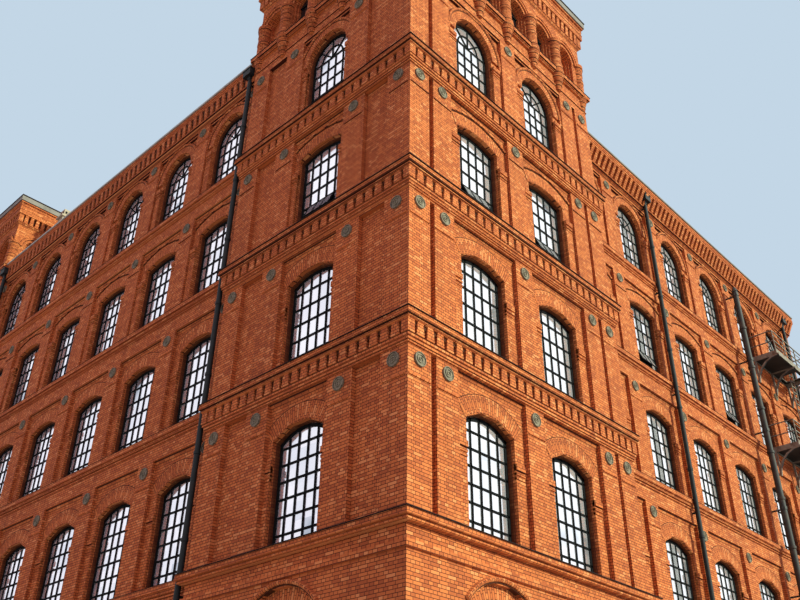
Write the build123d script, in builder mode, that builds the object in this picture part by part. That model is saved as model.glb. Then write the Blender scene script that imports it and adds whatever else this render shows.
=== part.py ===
from build123d import *
from math import atan2, cos, degrees, radians, sin, tan
import os

# Brick factory block: a short end elevation between two corner towers, and two long sides.
# X runs along the long sides, Y along the end elevation, Z up from the ground.
# The block is symmetrical about the plane Y = 0. All lengths are in millimetres.

# Plan
tower_end = 7560  # tower width on the end elevation
tower_side = 9570  # tower depth along the long side
end_bay_pitch = 3250
end_bays = 6
side_bay_pitch = 3435
side_bays = 6
end_setback = 200  # end wall behind the tower face
side_setback = 1350  # long walls behind the tower face

# Wall make-up, from the outside in
relief_depth = 130  # bay panels sunk behind the pilasters
reveal_depth = 230  # outer order of a window opening
wall_thickness = 780
inner_wall_thickness = 510
party_wall_thickness = 510

# Bay widths on the elevations
pilaster = 775
end_pier = 860
blind_panel = 930
end_pilaster = 880
slot = 180

# Window openings
window_width = 1850
embrasure_side = 60  # inner splay wider than the outer order
window_unit = 60  # thickness of a frame with its glass
unit_clearance = 5

# Storeys: each from its sill to the next one, with the jamb, arch rise and sunk panel above the sill
ground_sill, ground_jamb, ground_rise = 3000, 2830, 320
second_sill, second_jamb, second_rise, second_panel = 7500, 2810, 320, 3860
third_jamb, third_rise, third_panel = 2770, 260, 3640
fourth_jamb, fourth_rise, fourth_panel = 2820, 190, 3650
fifth_jamb, fifth_rise, fifth_panel = 2400, 925, 3660
second_storey, third_storey, fourth_storey, fifth_storey = 4670, 4500, 4460, 4720

# Ground storey: an arched recess round each opening, and a plinth
ground_recess_width, ground_recess_jamb, ground_recess_rise = 2400, 3090, 550
plinth_height, plinth_reach = 1100, 90

# String courses under the sills
ledge_height, ledge_reach = 150, 200
bed_height, bed_reach = 90, 130
foot_drop, foot_height, foot_reach = 590, 150, 60
wing_ledge_reach, wing_bed_reach = 120, 60

# Eaves cornice of the three lower walls
cornice_height = 330
end_cornice_reach, side_cornice_reach = 200, 450
cornice_bed_height, cornice_bed_reach = 570, 110

# Belvedere on each tower
tower_band = 160  # plain brickwork above the fifth panels
belvedere_parapet, arcade_jamb, arcade_head = 950, 1400, 2450
roof_side_parapet = 1500  # below the blind arches above the lower roof
arcade_pitch = 1500
arcade_opening = 950
arcade_recess = 300
sill_course_height, sill_course_reach = 160, 170
tower_cornice_height, tower_cornice_reach = 700, 190
tower_gutter_height, tower_gutter_reach = 300, 300

# Engaged colonnettes between the belvedere arches, round in life and modelled with flat sides
colonnette_sides, corner_inset = 6, 120
corbel_foot, corbel_radius, shaft_radius, capital_radius = 100, 260, 220, 280
capital_height, capital_above_spring = 300, 150

# Floors and roofs
floor_thickness = 300
floor_below_sill = 850
roof_pitch = 4.0
roof_edge = 120

# Round heads are built of straight-faced bricks, so each arch is a fan of short chords
segment_chords = 3
round_chords = 6

# Downpipes and flue, modelled with flat sides
pipe_sides, flue_sides = 8, 8
pipe_radius = 65
pipe_standoff = 200  # pipe centre in front of the pilasters
pipe_corner_gap = 290  # pipe centre from the tower's side
clip_drop, clip_height, clip_width = 500, 60, 40
hopper_width, hopper_depth, hopper_height = 420, 280, 420
side_pipe_place = 6250  # from the tower's side along the front wall
side_pipe_bays = 4  # bays between the two pipes of the front wall
flue_radius, flue_standoff, flue_top = 125, 480, 24300
flue_cap_height, cap_tip_radius = 260, 50
flue_place = 13600
collar_reach, collar_height, collar_spacing = 30, 130, 3400
arm_width, arm_height = 50, 60

# Steel fire escape on the front wall
escape_place, escape_length, escape_depth = 15100, 3700, 1200
escape_step = 200  # deck above the sill that it serves
deck_thickness, beam_depth, beam_width = 40, 160, 80
hatch_side, hatch_gap = 750, 250
bracket_count, bracket_drop, bracket_bar, bracket_chords = 3, 1150, 80, 5
rail_height, rail_bar, rail_posts = 1050, 40, 4
ladder_width, rung_spacing, ladder_bar, ladder_rise = 450, 300, 40, 900

# Small chimney on the roof beside the far tower
chimney_side, chimney_top, cap_reach, cap_height = 520, 28700, 60, 140
chimney_from_end, chimney_from_tower = 1500, 1300

end_length = end_bays * end_bay_pitch
side_length = side_bays * side_bay_pitch + pilaster / 2
side_pier = (tower_side - 2 * side_bay_pitch - pilaster - 2 * slot) / 2
total_width = 2 * tower_end + end_length
total_length = tower_side + side_length
west = (tower_gutter_reach - total_length) / 2
east = west + total_length
south = -total_width / 2
north = -south

third_sill = second_sill + second_storey
fourth_sill = third_sill + third_storey
fifth_sill = fourth_sill + fourth_storey
eaves_top = fifth_sill + fifth_storey
belvedere_base = fifth_sill + fifth_panel + tower_band
belvedere_sill = belvedere_base + belvedere_parapet
roof_side_sill = belvedere_base + roof_side_parapet
belvedere_spring = belvedere_sill + arcade_jamb
belvedere_top = belvedere_spring + arcade_head

storeys = [
    (ground_sill, ground_jamb, ground_rise),
    (second_sill, second_jamb, second_rise),
    (third_sill, third_jamb, third_rise),
    (fourth_sill, fourth_jamb, fourth_rise),
    (fifth_sill, fifth_jamb, fifth_rise),
]
upper_panels = [
    (second_sill, second_panel),
    (third_sill, third_panel),
    (fourth_sill, fourth_panel),
    (fifth_sill, fifth_panel),
]
string_tops = [second_sill, third_sill, fourth_sill, fifth_sill]
clip_levels = [top - clip_drop for top in string_tops] + [fifth_sill + fifth_panel + clip_height]


def face_plane(x, y, heading):
    """Upright plane seen from outside: its x runs right, its y runs up, its z points outwards."""
    outward = Vector(1, 0, 0).rotate(Axis.Z, heading)
    return Plane(origin=(x, y, 0), x_dir=Vector(0, 1, 0).rotate(Axis.Z, heading), z_dir=outward)


def block(left, right, bottom, top):
    """Rectangle between two corners."""
    with BuildSketch() as shape:
        with Locations(((left + right) / 2, (bottom + top) / 2)):
            Rectangle(right - left, top - bottom)
    return shape.sketch


def slab(x_low, x_high, y_low, y_high, z_low, z_high):
    """Rectangular solid between two corners."""
    with BuildPart() as solid:
        with BuildSketch(Plane.XY.offset(z_low)):
            add(block(x_low, x_high, y_low, y_high))
        extrude(amount=z_high - z_low)
    return solid.part


def at_centres(centres):
    """Locations along an elevation, one for each bay centre."""
    return Locations([(u, 0) for u in centres])


def arch_points(width, spring, rise, chords):
    """Points of an arch from its right springing to its left one."""
    radius = (width * width / 4 + rise * rise) / (2 * rise)
    half_angle = degrees(atan2(width / 2, radius - rise))
    points = []
    for step in range(chords + 1):
        angle = radians(90 - half_angle + 2 * half_angle * step / chords)
        points.append((radius * cos(angle), spring + rise - radius + radius * sin(angle)))
    return points


def arched_opening(width, bottom, jamb, rise):
    """Upright opening with an arched head, centred on the elevation's origin."""
    chords = round_chords if rise > width / 3 else segment_chords  # heads near a half circle need more
    outline = [(-width / 2, bottom), (width / 2, bottom)] + arch_points(width, bottom + jamb, rise, chords)
    with BuildSketch() as shape:
        with BuildLine():
            Polyline(outline, close=True)
        make_face()
    return shape.sketch


def masonry_wall(face, left, right, top, centres, panels):
    """Wall with pilasters left standing between sunk panels, and windows cut through it."""
    recess_face = face.offset(-relief_depth)
    order_back = recess_face.offset(-reveal_depth)
    recess = arched_opening(ground_recess_width, ground_sill, ground_recess_jamb, ground_recess_rise)
    half_splay = window_width / 2 + embrasure_side
    with BuildPart() as wall:
        with BuildSketch(face):
            add(block(left, right, 0, top))
            with at_centres(centres):
                add(recess, mode=Mode.SUBTRACT)
            for sill, panel in upper_panels:
                add([block(panel_left, panel_right, sill, sill + panel) for panel_left, panel_right in panels],
                    mode=Mode.SUBTRACT)
        extrude(amount=-relief_depth)
        with BuildSketch(recess_face):
            add(block(left, right, 0, top))
            for storey in storeys:
                with at_centres(centres):
                    add(arched_opening(window_width, *storey), mode=Mode.SUBTRACT)
        extrude(amount=-reveal_depth)
        with BuildSketch(order_back):
            add(block(left, right, 0, top))
            for sill, jamb, rise in storeys:
                with at_centres(centres):
                    add(block(-half_splay, half_splay, sill, sill + jamb + rise + embrasure_side), mode=Mode.SUBTRACT)
        extrude(amount=-(wall_thickness - relief_depth - reveal_depth))
    return wall.part


def wing_courses(face, length, cornice_reach, between_towers):
    """Sill courses, plinth and eaves cornice of a lower wall, each butting against the tower's courses."""
    bands = [(plinth_height, plinth_height, plinth_reach, plinth_reach)]
    for top in string_tops:
        bands.append((top, ledge_height, wing_ledge_reach, ledge_reach))
        bands.append((top - ledge_height, bed_height, wing_bed_reach, bed_reach))
    bands.append((eaves_top, cornice_height, cornice_reach, sill_course_reach))
    bands.append((eaves_top - cornice_height, cornice_bed_height, cornice_bed_reach, 0))
    with BuildPart() as strips:
        for top, height, reach, inset in bands:
            with BuildSketch(face):
                add(block(inset, length - inset if between_towers else length, top - height, top))
            extrude(amount=reach)
    return strips.part


def tower_ring(reach):
    """Plan of a course that runs round the street sides of the corner tower."""
    with BuildSketch() as ring:
        add(block(west - reach, west + tower_side + reach, south - reach, south + tower_end + reach))
        add(block(west, west + tower_side, south, south + tower_end), mode=Mode.SUBTRACT)
        add(block(west + end_setback, east, south + tower_end, north), mode=Mode.SUBTRACT)
        add(block(west + tower_side, east, south + side_setback, north), mode=Mode.SUBTRACT)
    return ring.sketch


def tower_courses(west_limit, east_limit):
    """Plinth and string courses of the corner tower between two lines across it."""
    bands = [(plinth_height, plinth_height, plinth_reach)]
    for top in string_tops:
        bands.append((top, ledge_height, ledge_reach))
        bands.append((top - ledge_height, bed_height, bed_reach))
        bands.append((top - foot_drop, foot_height, foot_reach))
    with BuildPart() as strips:
        for top, height, reach in bands:
            with BuildSketch(Plane.XY.offset(top - height)):
                add(tower_ring(reach))
                add(block(west_limit, east_limit, south - reach, north), mode=Mode.INTERSECT)
            extrude(amount=height)
    return strips.part


def window_units(face, centres):
    """Frames with their glass, set against the back of the outer order."""
    half = window_width / 2 + embrasure_side - unit_clearance
    with BuildPart() as units:
        with BuildSketch(face.offset(-relief_depth - reveal_depth)):
            for sill, jamb, rise in storeys:
                head = sill + jamb + rise + embrasure_side
                with at_centres(centres):
                    add(block(-half, half, sill + unit_clearance, head - unit_clearance))
        extrude(amount=-window_unit)
    return units.part


def arcade_centres(length):
    """Centres of the belvedere arches on a face of the given length."""
    count = int(length // arcade_pitch)
    return [length / 2 + (i - (count - 1) / 2) * arcade_pitch for i in range(count)]


def arcaded_wall(face, left, right, length, over_street):
    """Belvedere wall with a row of arches, the middle ones open on the street sides."""
    rise = arcade_opening / 2
    half_splay = arcade_opening / 2 + embrasure_side
    sill = belvedere_sill if over_street else roof_side_sill
    arch = arched_opening(arcade_opening, sill, belvedere_spring - sill, rise)
    with BuildPart() as wall:
        with BuildSketch(face):
            add(block(left, right, belvedere_base, belvedere_top))
            with at_centres(arcade_centres(length)):
                add(arch, mode=Mode.SUBTRACT)
        extrude(amount=-arcade_recess)
        with BuildSketch(face.offset(-arcade_recess)):
            add(block(left, right, belvedere_base, belvedere_top))
            if over_street:
                with at_centres(arcade_centres(length)[1:-1]):
                    add(block(-half_splay, half_splay, sill, belvedere_spring + rise + embrasure_side),
                        mode=Mode.SUBTRACT)
        extrude(amount=-(inner_wall_thickness - arcade_recess))
    return wall.part


def tower_square(reach):
    """Plan of a course that runs round all four sides of the corner tower."""
    with BuildSketch() as ring:
        add(block(west - reach, west + tower_side + reach, south - reach, south + tower_end + reach))
        add(block(west, west + tower_side, south, south + tower_end), mode=Mode.SUBTRACT)
    return ring.sketch


def belvedere_courses(x_low, x_high, y_low, y_high, over_street):
    """Cornice, and on the street sides also the sill course, cut to one of the four walls."""
    bands = [(belvedere_top - tower_cornice_height, tower_cornice_height, tower_square(tower_cornice_reach))]
    if over_street:
        bands.append((belvedere_sill - sill_course_height, sill_course_height, tower_ring(sill_course_reach)))
    with BuildPart() as strips:
        for bottom, height, plan in bands:
            with BuildSketch(Plane.XY.offset(bottom)):
                add(plan)
                add(block(x_low, x_high, y_low, y_high), mode=Mode.INTERSECT)
            extrude(amount=height)
    return strips.part


def upright_prism(x, y, sides, bottom, top, lower_radius, upper_radius):
    """Many-sided upright prism that tapers evenly: drawn narrowing upwards, and turned over if it widens."""
    taper = degrees(atan2(abs(upper_radius - lower_radius) * cos(radians(180 / sides)), top - bottom))
    with BuildPart() as narrowing:
        with BuildSketch():
            RegularPolygon(max(lower_radius, upper_radius), sides)
        extrude(amount=top - bottom, taper=taper)
    widens = upper_radius > lower_radius
    with BuildPart() as prism:
        with Locations((x, y, top if widens else bottom)):
            add(narrowing.part, rotation=(180 if widens else 0, 0, 0))
    return prism.part


def colonnette(x, y):
    """Engaged column on a flared corbel, with a flared capital at the springing of the arches."""
    capital_top = belvedere_spring + capital_above_spring
    neck = capital_top - capital_height
    with BuildPart() as column:
        add(upright_prism(x, y, colonnette_sides, belvedere_base, belvedere_sill, corbel_foot, corbel_radius))
        add(upright_prism(x, y, colonnette_sides, belvedere_sill, neck, shaft_radius, shaft_radius))
        add(upright_prism(x, y, colonnette_sides, neck, capital_top, shaft_radius, capital_radius))
    return column.part


def arcade_piers(length):
    """Places between neighbouring belvedere arches."""
    return [u + arcade_pitch / 2 for u in arcade_centres(length)[:-1]]


def arcade_units(face, length):
    """Small windows behind the glazed arches."""
    half = arcade_opening / 2 + embrasure_side - unit_clearance
    top = belvedere_spring + arcade_opening / 2 + embrasure_side - unit_clearance
    with BuildPart() as units:
        with BuildSketch(face.offset(-arcade_recess)):
            with at_centres(arcade_centres(length)[1:-1]):
                add(block(-half, half, belvedere_sill + unit_clearance, top))
        extrude(amount=-window_unit)
    return units.part


def hip_solid(x_low, x_high, y_low, y_high, base, edge, hipped_both):
    """Low hipped solid over a rectangle, upright at its far end unless it is hipped there too."""
    slope = tan(radians(roof_pitch))
    half_y = (y_high - y_low) / 2
    length = x_high - x_low
    shoulder = base + edge
    across = [(y_low, base), (y_high, base), (y_high, shoulder), (y_low + half_y, shoulder + half_y * slope),
              (y_low, shoulder)]
    if hipped_both:
        far_end = [(x_high, shoulder), (x_low + length / 2, shoulder + length / 2 * slope)]
    else:
        far_end = [(x_high, shoulder + length * slope)]
    along = [(x_low, base), (x_high, base)] + far_end + [(x_low, shoulder)]
    with BuildPart() as hip:
        with BuildSketch(Plane.YZ.offset(x_low)):
            with BuildLine():
                Polyline(across, close=True)
            make_face()
        extrude(amount=length)
        with BuildSketch(Plane.XZ.offset(-y_high)):
            with BuildLine():
                Polyline(along, close=True)
            make_face()
        extrude(amount=2 * half_y, mode=Mode.INTERSECT)
    return hip.part


def storey_floor(top):
    """Floor of one storey: the main hall and a separate floor inside each tower."""
    bottom = top - floor_thickness
    hall_edge = north - side_setback - wall_thickness
    with BuildPart() as floor:
        add(slab(west + end_setback + wall_thickness, east - party_wall_thickness, -hall_edge, hall_edge, bottom, top))
        add(slab(west, west + tower_side, south, south + tower_end, bottom, top), mode=Mode.SUBTRACT)
        add(slab(west, west + tower_side, north - tower_end, north, bottom, top), mode=Mode.SUBTRACT)
        add(tower_floor(top))
        mirror(tower_floor(top), about=Plane.XZ)
    return floor.part


def tower_floor(top):
    """Floor between the four walls of the corner tower."""
    return slab(west + wall_thickness, west + tower_side - inner_wall_thickness, south + wall_thickness,
                south + tower_end - inner_wall_thickness, top - floor_thickness, top)


def upright_pipe(face, u, standoff, radius, sides, bottom, top, top_radius=None):
    """Many-sided upright pipe in front of an elevation, between two heights."""
    foot = face.from_local_coords(Vector(u, 0, standoff))
    return upright_prism(foot.X, foot.Y, sides, bottom, top, radius, top_radius or radius)


def wall_block(face, u, width, bottom, top, near, far):
    """Block standing out from a wall between two distances from its face."""
    with BuildPart() as solid:
        with BuildSketch(face.offset(near)):
            add(block(u - width / 2, u + width / 2, bottom, top))
        extrude(amount=far - near)
    return solid.part


def hopper_head(face, u, bottom, top):
    """Funnel from the foot of the cornice down to the mouth of the pipe."""
    side = Plane(origin=face.from_local_coords(Vector(u, 0, 0)), x_dir=face.z_dir, z_dir=-face.x_dir)
    front_outline = [(u - pipe_radius, bottom), (u + pipe_radius, bottom), (u + hopper_width / 2, top),
                     (u - hopper_width / 2, top)]
    side_outline = [(pipe_standoff - pipe_radius, bottom), (pipe_standoff + pipe_radius, bottom),
                    (cornice_bed_reach + hopper_depth, top), (cornice_bed_reach, top)]
    with BuildPart() as hopper:
        with BuildSketch(face):
            with BuildLine():
                Polyline(front_outline, close=True)
            make_face()
        extrude(amount=cornice_bed_reach + hopper_depth)
        with BuildSketch(side):
            with BuildLine():
                Polyline(side_outline, close=True)
            make_face()
        extrude(amount=hopper_width / 2, both=True, mode=Mode.INTERSECT)
    return hopper.part


def downpipe(face, u):
    """Round downpipe on clips, with a tapered hopper head in front of the cornice bed."""
    hopper_top = eaves_top - cornice_height
    hopper_bottom = hopper_top - hopper_height
    with BuildPart() as pipe:
        add(upright_pipe(face, u, pipe_standoff, pipe_radius, pipe_sides, 0, hopper_bottom))
        add(hopper_head(face, u, hopper_bottom, hopper_top))
        for level in clip_levels:
            add(wall_block(face, u, clip_width, level, level + clip_height, 0, pipe_standoff))
    return pipe.part


def escape_deck(top, has_hatch):
    """Plate with edge beams, and in the upper deck a hatch for the ladder."""
    left, right = escape_place, escape_place + escape_length
    hatch_centre = right - hatch_gap - hatch_side / 2
    with BuildPart() as deck:
        add(wall_block(front_face, (left + right) / 2, escape_length, top - beam_depth, top, 0, escape_depth))
        add(wall_block(front_face, (left + right) / 2, escape_length - 2 * beam_width, top - beam_depth,
                       top - deck_thickness, beam_width, escape_depth - beam_width), mode=Mode.SUBTRACT)
        if has_hatch:
            add(wall_block(front_face, hatch_centre, hatch_side, top - beam_depth, top,
                           (escape_depth - hatch_side) / 2, (escape_depth + hatch_side) / 2), mode=Mode.SUBTRACT)
    return deck.part


def escape_bracket(u, top):
    """Curved bracket: a quarter of a bar ring between an upright on the ledge and an arm under the deck."""
    side = Plane(origin=front_face.from_local_coords(Vector(u - bracket_bar / 2, top, wing_ledge_reach)),
                 x_dir=front_face.z_dir, z_dir=-front_face.x_dir)
    turns = [90 * step / bracket_chords for step in range(bracket_chords + 1)]
    centre = bracket_drop
    outer = [(centre - centre * cos(radians(turn)), centre * sin(radians(turn)) - centre) for turn in turns]
    inner_radius = bracket_drop - bracket_bar
    inner = [(centre - inner_radius * cos(radians(turn)), inner_radius * sin(radians(turn)) - centre)
             for turn in reversed(turns)]
    with BuildPart() as bracket:
        with BuildSketch(side):
            with BuildLine():
                Polyline(outer + inner, close=True)
            make_face()
            add(block(0, bracket_drop, -bracket_bar, 0))
            add(block(0, bracket_bar, -bracket_drop, 0))
        extrude(amount=-bracket_bar)
    return bracket.part


def escape_railing(top):
    """Posts and two rails round the three open sides of a deck."""
    left, right = escape_place, escape_place + escape_length
    outer = escape_depth - rail_bar
    post_spacing = (escape_length - rail_bar) / (rail_posts - 1)
    with BuildPart() as railing:
        for i in range(rail_posts):
            u = left + rail_bar / 2 + i * post_spacing
            add(wall_block(front_face, u, rail_bar, top, top + rail_height, outer, escape_depth))
        for height in (rail_height / 2, rail_height):
            low, high = top + height - rail_bar, top + height
            add(wall_block(front_face, (left + right) / 2, escape_length, low, high, outer, escape_depth))
            for u in (left + rail_bar / 2, right - rail_bar / 2):
                add(wall_block(front_face, u, rail_bar, low, high, 0, escape_depth))
    return railing.part


def escape_ladder(bottom, top):
    """Two stiles with rungs, from one deck through the hatch of the next."""
    centre = escape_place + escape_length - hatch_gap - hatch_side / 2
    near = (escape_depth - ladder_bar) / 2
    rungs = int((top - bottom) // rung_spacing)
    with BuildPart() as ladder:
        for u in (centre - ladder_width / 2, centre + ladder_width / 2):
            add(wall_block(front_face, u, ladder_bar, bottom, top, near, near + ladder_bar))
        for i in range(1, rungs + 1):
            level = bottom + i * rung_spacing
            add(wall_block(front_face, centre, ladder_width, level - ladder_bar, level, near, near + ladder_bar))
    return ladder.part


def bay_panels(centres, width):
    """Left and right edges of the sunk panels round the given centres."""
    return [(u - width / 2, u + width / 2) for u in centres]


# Bay centres and panels, measured from the left corner of each elevation
tower_end_centres = [tower_end / 2]
end_window_bay = tower_end - 2 * (end_pier + blind_panel + end_pilaster)
tower_end_panels = bay_panels(tower_end_centres, end_window_bay)
tower_end_panels += [(end_pier, end_pier + blind_panel), (tower_end - end_pier - blind_panel, tower_end - end_pier)]
side_window_bay = side_bay_pitch - pilaster
tower_side_centres = [(tower_side - side_bay_pitch) / 2, (tower_side + side_bay_pitch) / 2]
tower_side_panels = bay_panels(tower_side_centres, side_window_bay)
tower_side_panels += [(side_pier, side_pier + slot), (tower_side - side_pier - slot, tower_side - side_pier)]
end_centres = [(i + 0.5) * end_bay_pitch for i in range(end_bays)]
front_centres = [(i + 0.5) * side_bay_pitch for i in range(side_bays)]

# Elevation planes, each with its origin at the left corner seen from outside
corner_end_face = face_plane(west, south + tower_end, 180)
corner_side_face = face_plane(west, south, -90)
corner_return_face = face_plane(west + tower_side, south + tower_end, 90)
corner_inner_face = face_plane(west + tower_side, south, 0)
end_face = face_plane(west + end_setback, north - tower_end, 180)
front_face = face_plane(west + tower_side, south + side_setback, -90)

# Lower walls
with BuildPart() as end_wall:
    add(masonry_wall(end_face, 0, end_length, eaves_top, end_centres,
                     bay_panels(end_centres, end_bay_pitch - pilaster)))
    add(wing_courses(end_face, end_length, end_cornice_reach, True))

with BuildPart() as front_wall:
    add(masonry_wall(front_face, 0, side_length, eaves_top, front_centres,
                     bay_panels(front_centres, side_window_bay)))
    add(wing_courses(front_face, side_length, side_cornice_reach, False))

with BuildPart() as party_wall:
    hall_edge = north - side_setback - wall_thickness
    add(slab(east - party_wall_thickness, east, -hall_edge, hall_edge, 0, eaves_top))

# Corner tower: two street walls, and two plain walls inside that rise above the roof
with BuildPart() as tower_end_wall:
    add(masonry_wall(corner_end_face, 0, tower_end, belvedere_base, tower_end_centres, tower_end_panels))
    add(tower_courses(west - ledge_reach, west + wall_thickness))

with BuildPart() as tower_side_wall:
    add(masonry_wall(corner_side_face, wall_thickness, tower_side, belvedere_base, tower_side_centres,
                     tower_side_panels))
    add(tower_courses(west + wall_thickness, east))

with BuildPart() as tower_return_wall:
    add(slab(west + wall_thickness, west + tower_side - inner_wall_thickness,
             south + tower_end - inner_wall_thickness, south + tower_end, 0, belvedere_base))
    add(arcaded_wall(corner_return_face, inner_wall_thickness, tower_side - inner_wall_thickness, tower_side, False))
    add(belvedere_courses(west + inner_wall_thickness, west + tower_side - inner_wall_thickness,
                          south + tower_end - inner_wall_thickness, north, False))

with BuildPart() as tower_inner_wall:
    add(slab(west + tower_side - inner_wall_thickness, west + tower_side, south + wall_thickness,
             south + tower_end, 0, belvedere_base))
    add(arcaded_wall(corner_inner_face, inner_wall_thickness, tower_end, tower_end, False))
    add(belvedere_courses(west + tower_side - inner_wall_thickness, east,
                          south + inner_wall_thickness, north, False))

with BuildPart() as belvedere_end_wall:
    add(arcaded_wall(corner_end_face, 0, tower_end, tower_end, True))
    add(belvedere_courses(west - tower_gutter_reach, west + inner_wall_thickness,
                          south - tower_gutter_reach, north, True))
    for u in arcade_piers(tower_end):
        add(colonnette(west, south + u))
    for u in (corner_inset, tower_end - corner_inset):
        add(colonnette(west + corner_inset, south + u))
    add(slab(west, east, south + tower_end, north, belvedere_base, roof_side_sill), mode=Mode.SUBTRACT)

with BuildPart() as belvedere_side_wall:
    add(arcaded_wall(corner_side_face, inner_wall_thickness, tower_side, tower_side, True))
    add(belvedere_courses(west + inner_wall_thickness, east, south - tower_gutter_reach,
                          south + inner_wall_thickness, True))
    for u in arcade_piers(tower_side):
        add(colonnette(west + u, south))
    add(colonnette(west + tower_side - corner_inset, south + corner_inset))

with BuildPart() as tower_roof:
    add(hip_solid(west - tower_gutter_reach, west + tower_side + tower_gutter_reach,
                  south - tower_gutter_reach, south + tower_end + tower_gutter_reach,
                  belvedere_top, tower_gutter_height, True))

# Floors and the main roof
floors = [storey_floor(sill - floor_below_sill) for sill, jamb, rise in storeys]

with BuildPart() as belvedere_floors:
    add(tower_floor(belvedere_sill - floor_below_sill))
    mirror(tower_floor(belvedere_sill - floor_below_sill), about=Plane.XZ)

with BuildPart() as sill_course:
    with BuildSketch(Plane.XY.offset(belvedere_sill - sill_course_height)):
        add(tower_ring(sill_course_reach))
    extrude(amount=sill_course_height)

with BuildPart() as main_roof:
    long_wall = north - side_setback
    long_eaves = long_wall + side_cornice_reach
    add(hip_solid(west + end_setback - end_cornice_reach, east, -long_eaves, long_eaves, eaves_top, roof_edge, False))
    add(hip_solid(west + end_setback + wall_thickness, east - party_wall_thickness, wall_thickness - long_wall,
                  long_wall - wall_thickness, eaves_top - roof_edge, roof_edge, False), mode=Mode.SUBTRACT)
    add(slab(west, west + tower_side, south, south + tower_end, eaves_top, belvedere_top), mode=Mode.SUBTRACT)
    add(slab(west, west + tower_side, north - tower_end, north, eaves_top, belvedere_top), mode=Mode.SUBTRACT)
    add(sill_course.part, mode=Mode.SUBTRACT)
    mirror(sill_course.part, about=Plane.XZ, mode=Mode.SUBTRACT)

# Windows
with BuildPart() as end_windows:
    add(window_units(end_face, end_centres))

with BuildPart() as front_windows:
    add(window_units(front_face, front_centres))

with BuildPart() as tower_end_windows:
    add(window_units(corner_end_face, tower_end_centres))
    add(arcade_units(corner_end_face, tower_end))

with BuildPart() as tower_side_windows:
    add(window_units(corner_side_face, tower_side_centres))
    add(arcade_units(corner_side_face, tower_side))

# Pipes
with BuildPart() as end_downpipe:
    add(downpipe(end_face, end_length - pipe_corner_gap))

with BuildPart() as far_end_downpipe:
    mirror(end_downpipe.part, about=Plane.XZ)

with BuildPart() as front_downpipe:
    add(downpipe(front_face, side_pipe_place))

with BuildPart() as far_front_downpipe:
    add(downpipe(front_face, side_pipe_place + side_pipe_bays * side_bay_pitch))

with BuildPart() as flue_pipe:
    collar_radius = flue_radius + collar_reach
    cap_base = flue_top - flue_cap_height
    add(upright_pipe(front_face, flue_place, flue_standoff, flue_radius, flue_sides, 0, cap_base))
    add(upright_pipe(front_face, flue_place, flue_standoff, collar_radius, flue_sides, cap_base, flue_top,
                     cap_tip_radius))
    for i in range(1, int(flue_top // collar_spacing) + 1):
        level = i * collar_spacing
        add(upright_pipe(front_face, flue_place, flue_standoff, collar_radius, flue_sides, level,
                         level + collar_height))
        add(wall_block(front_face, flue_place, arm_width, level, level + arm_height, 0, flue_standoff))

# Fire escape between the two upper storeys
deck_tops = [fourth_sill + escape_step, fifth_sill + escape_step]
with BuildPart() as escape_decks:
    add(escape_deck(deck_tops[0], False))
    add(escape_deck(deck_tops[1], True))

with BuildPart() as escape_brackets:
    for top in deck_tops:
        for i in range(bracket_count):
            step = (escape_length - bracket_bar) / (bracket_count - 1)
            add(escape_bracket(escape_place + bracket_bar / 2 + i * step, top - beam_depth))

with BuildPart() as escape_railings:
    for top in deck_tops:
        add(escape_railing(top))

with BuildPart() as escape_ladders:
    add(escape_ladder(deck_tops[0], deck_tops[1] + ladder_rise))

# Small chimney standing on the end slope of the roof
chimney_x = west + end_setback + chimney_from_end
chimney_y = north - tower_end - chimney_from_tower
chimney_foot = eaves_top + roof_edge
with BuildPart() as roof_chimney:
    add(slab(chimney_x - chimney_side / 2, chimney_x + chimney_side / 2, chimney_y - chimney_side / 2,
             chimney_y + chimney_side / 2, chimney_foot, chimney_top))
    with BuildSketch(Plane.XY.offset(chimney_top - cap_height)):
        with Locations((chimney_x, chimney_y)):
            Rectangle(chimney_side + 2 * cap_reach, chimney_side + 2 * cap_reach)
    extrude(amount=cap_height)
    add(main_roof.part, mode=Mode.SUBTRACT)

# Everything on the corner tower and the front wall has its twin across the plane Y = 0
twins = {
    "rear_wall": front_wall,
    "rear_wall_windows": front_windows,
    "far_tower_end_wall": tower_end_wall,
    "far_tower_side_wall": tower_side_wall,
    "far_tower_return_wall": tower_return_wall,
    "far_tower_inner_wall": tower_inner_wall,
    "far_belvedere_end_wall": belvedere_end_wall,
    "far_belvedere_side_wall": belvedere_side_wall,
    "far_tower_roof": tower_roof,
    "far_tower_end_windows": tower_end_windows,
    "far_tower_side_windows": tower_side_windows,
}
pieces = {
    "end_wall": end_wall,
    "front_wall": front_wall,
    "party_wall": party_wall,
    "corner_tower_end_wall": tower_end_wall,
    "corner_tower_side_wall": tower_side_wall,
    "corner_tower_return_wall": tower_return_wall,
    "corner_tower_inner_wall": tower_inner_wall,
    "corner_belvedere_end_wall": belvedere_end_wall,
    "corner_belvedere_side_wall": belvedere_side_wall,
    "corner_tower_roof": tower_roof,
    "belvedere_floors": belvedere_floors,
    "main_roof": main_roof,
    "end_wall_windows": end_windows,
    "front_wall_windows": front_windows,
    "corner_tower_end_windows": tower_end_windows,
    "corner_tower_side_windows": tower_side_windows,
    "end_wall_downpipe": end_downpipe,
    "far_end_wall_downpipe": far_end_downpipe,
    "front_wall_downpipe": front_downpipe,
    "far_front_wall_downpipe": far_front_downpipe,
    "flue_pipe": flue_pipe,
    "fire_escape_decks": escape_decks,
    "fire_escape_brackets": escape_brackets,
    "fire_escape_railings": escape_railings,
    "fire_escape_ladder": escape_ladders,
    "roof_chimney": roof_chimney,
}
for name, original in twins.items():
    with BuildPart() as twin:
        mirror(original.part, about=Plane.XZ)
    pieces[name] = twin

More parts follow.
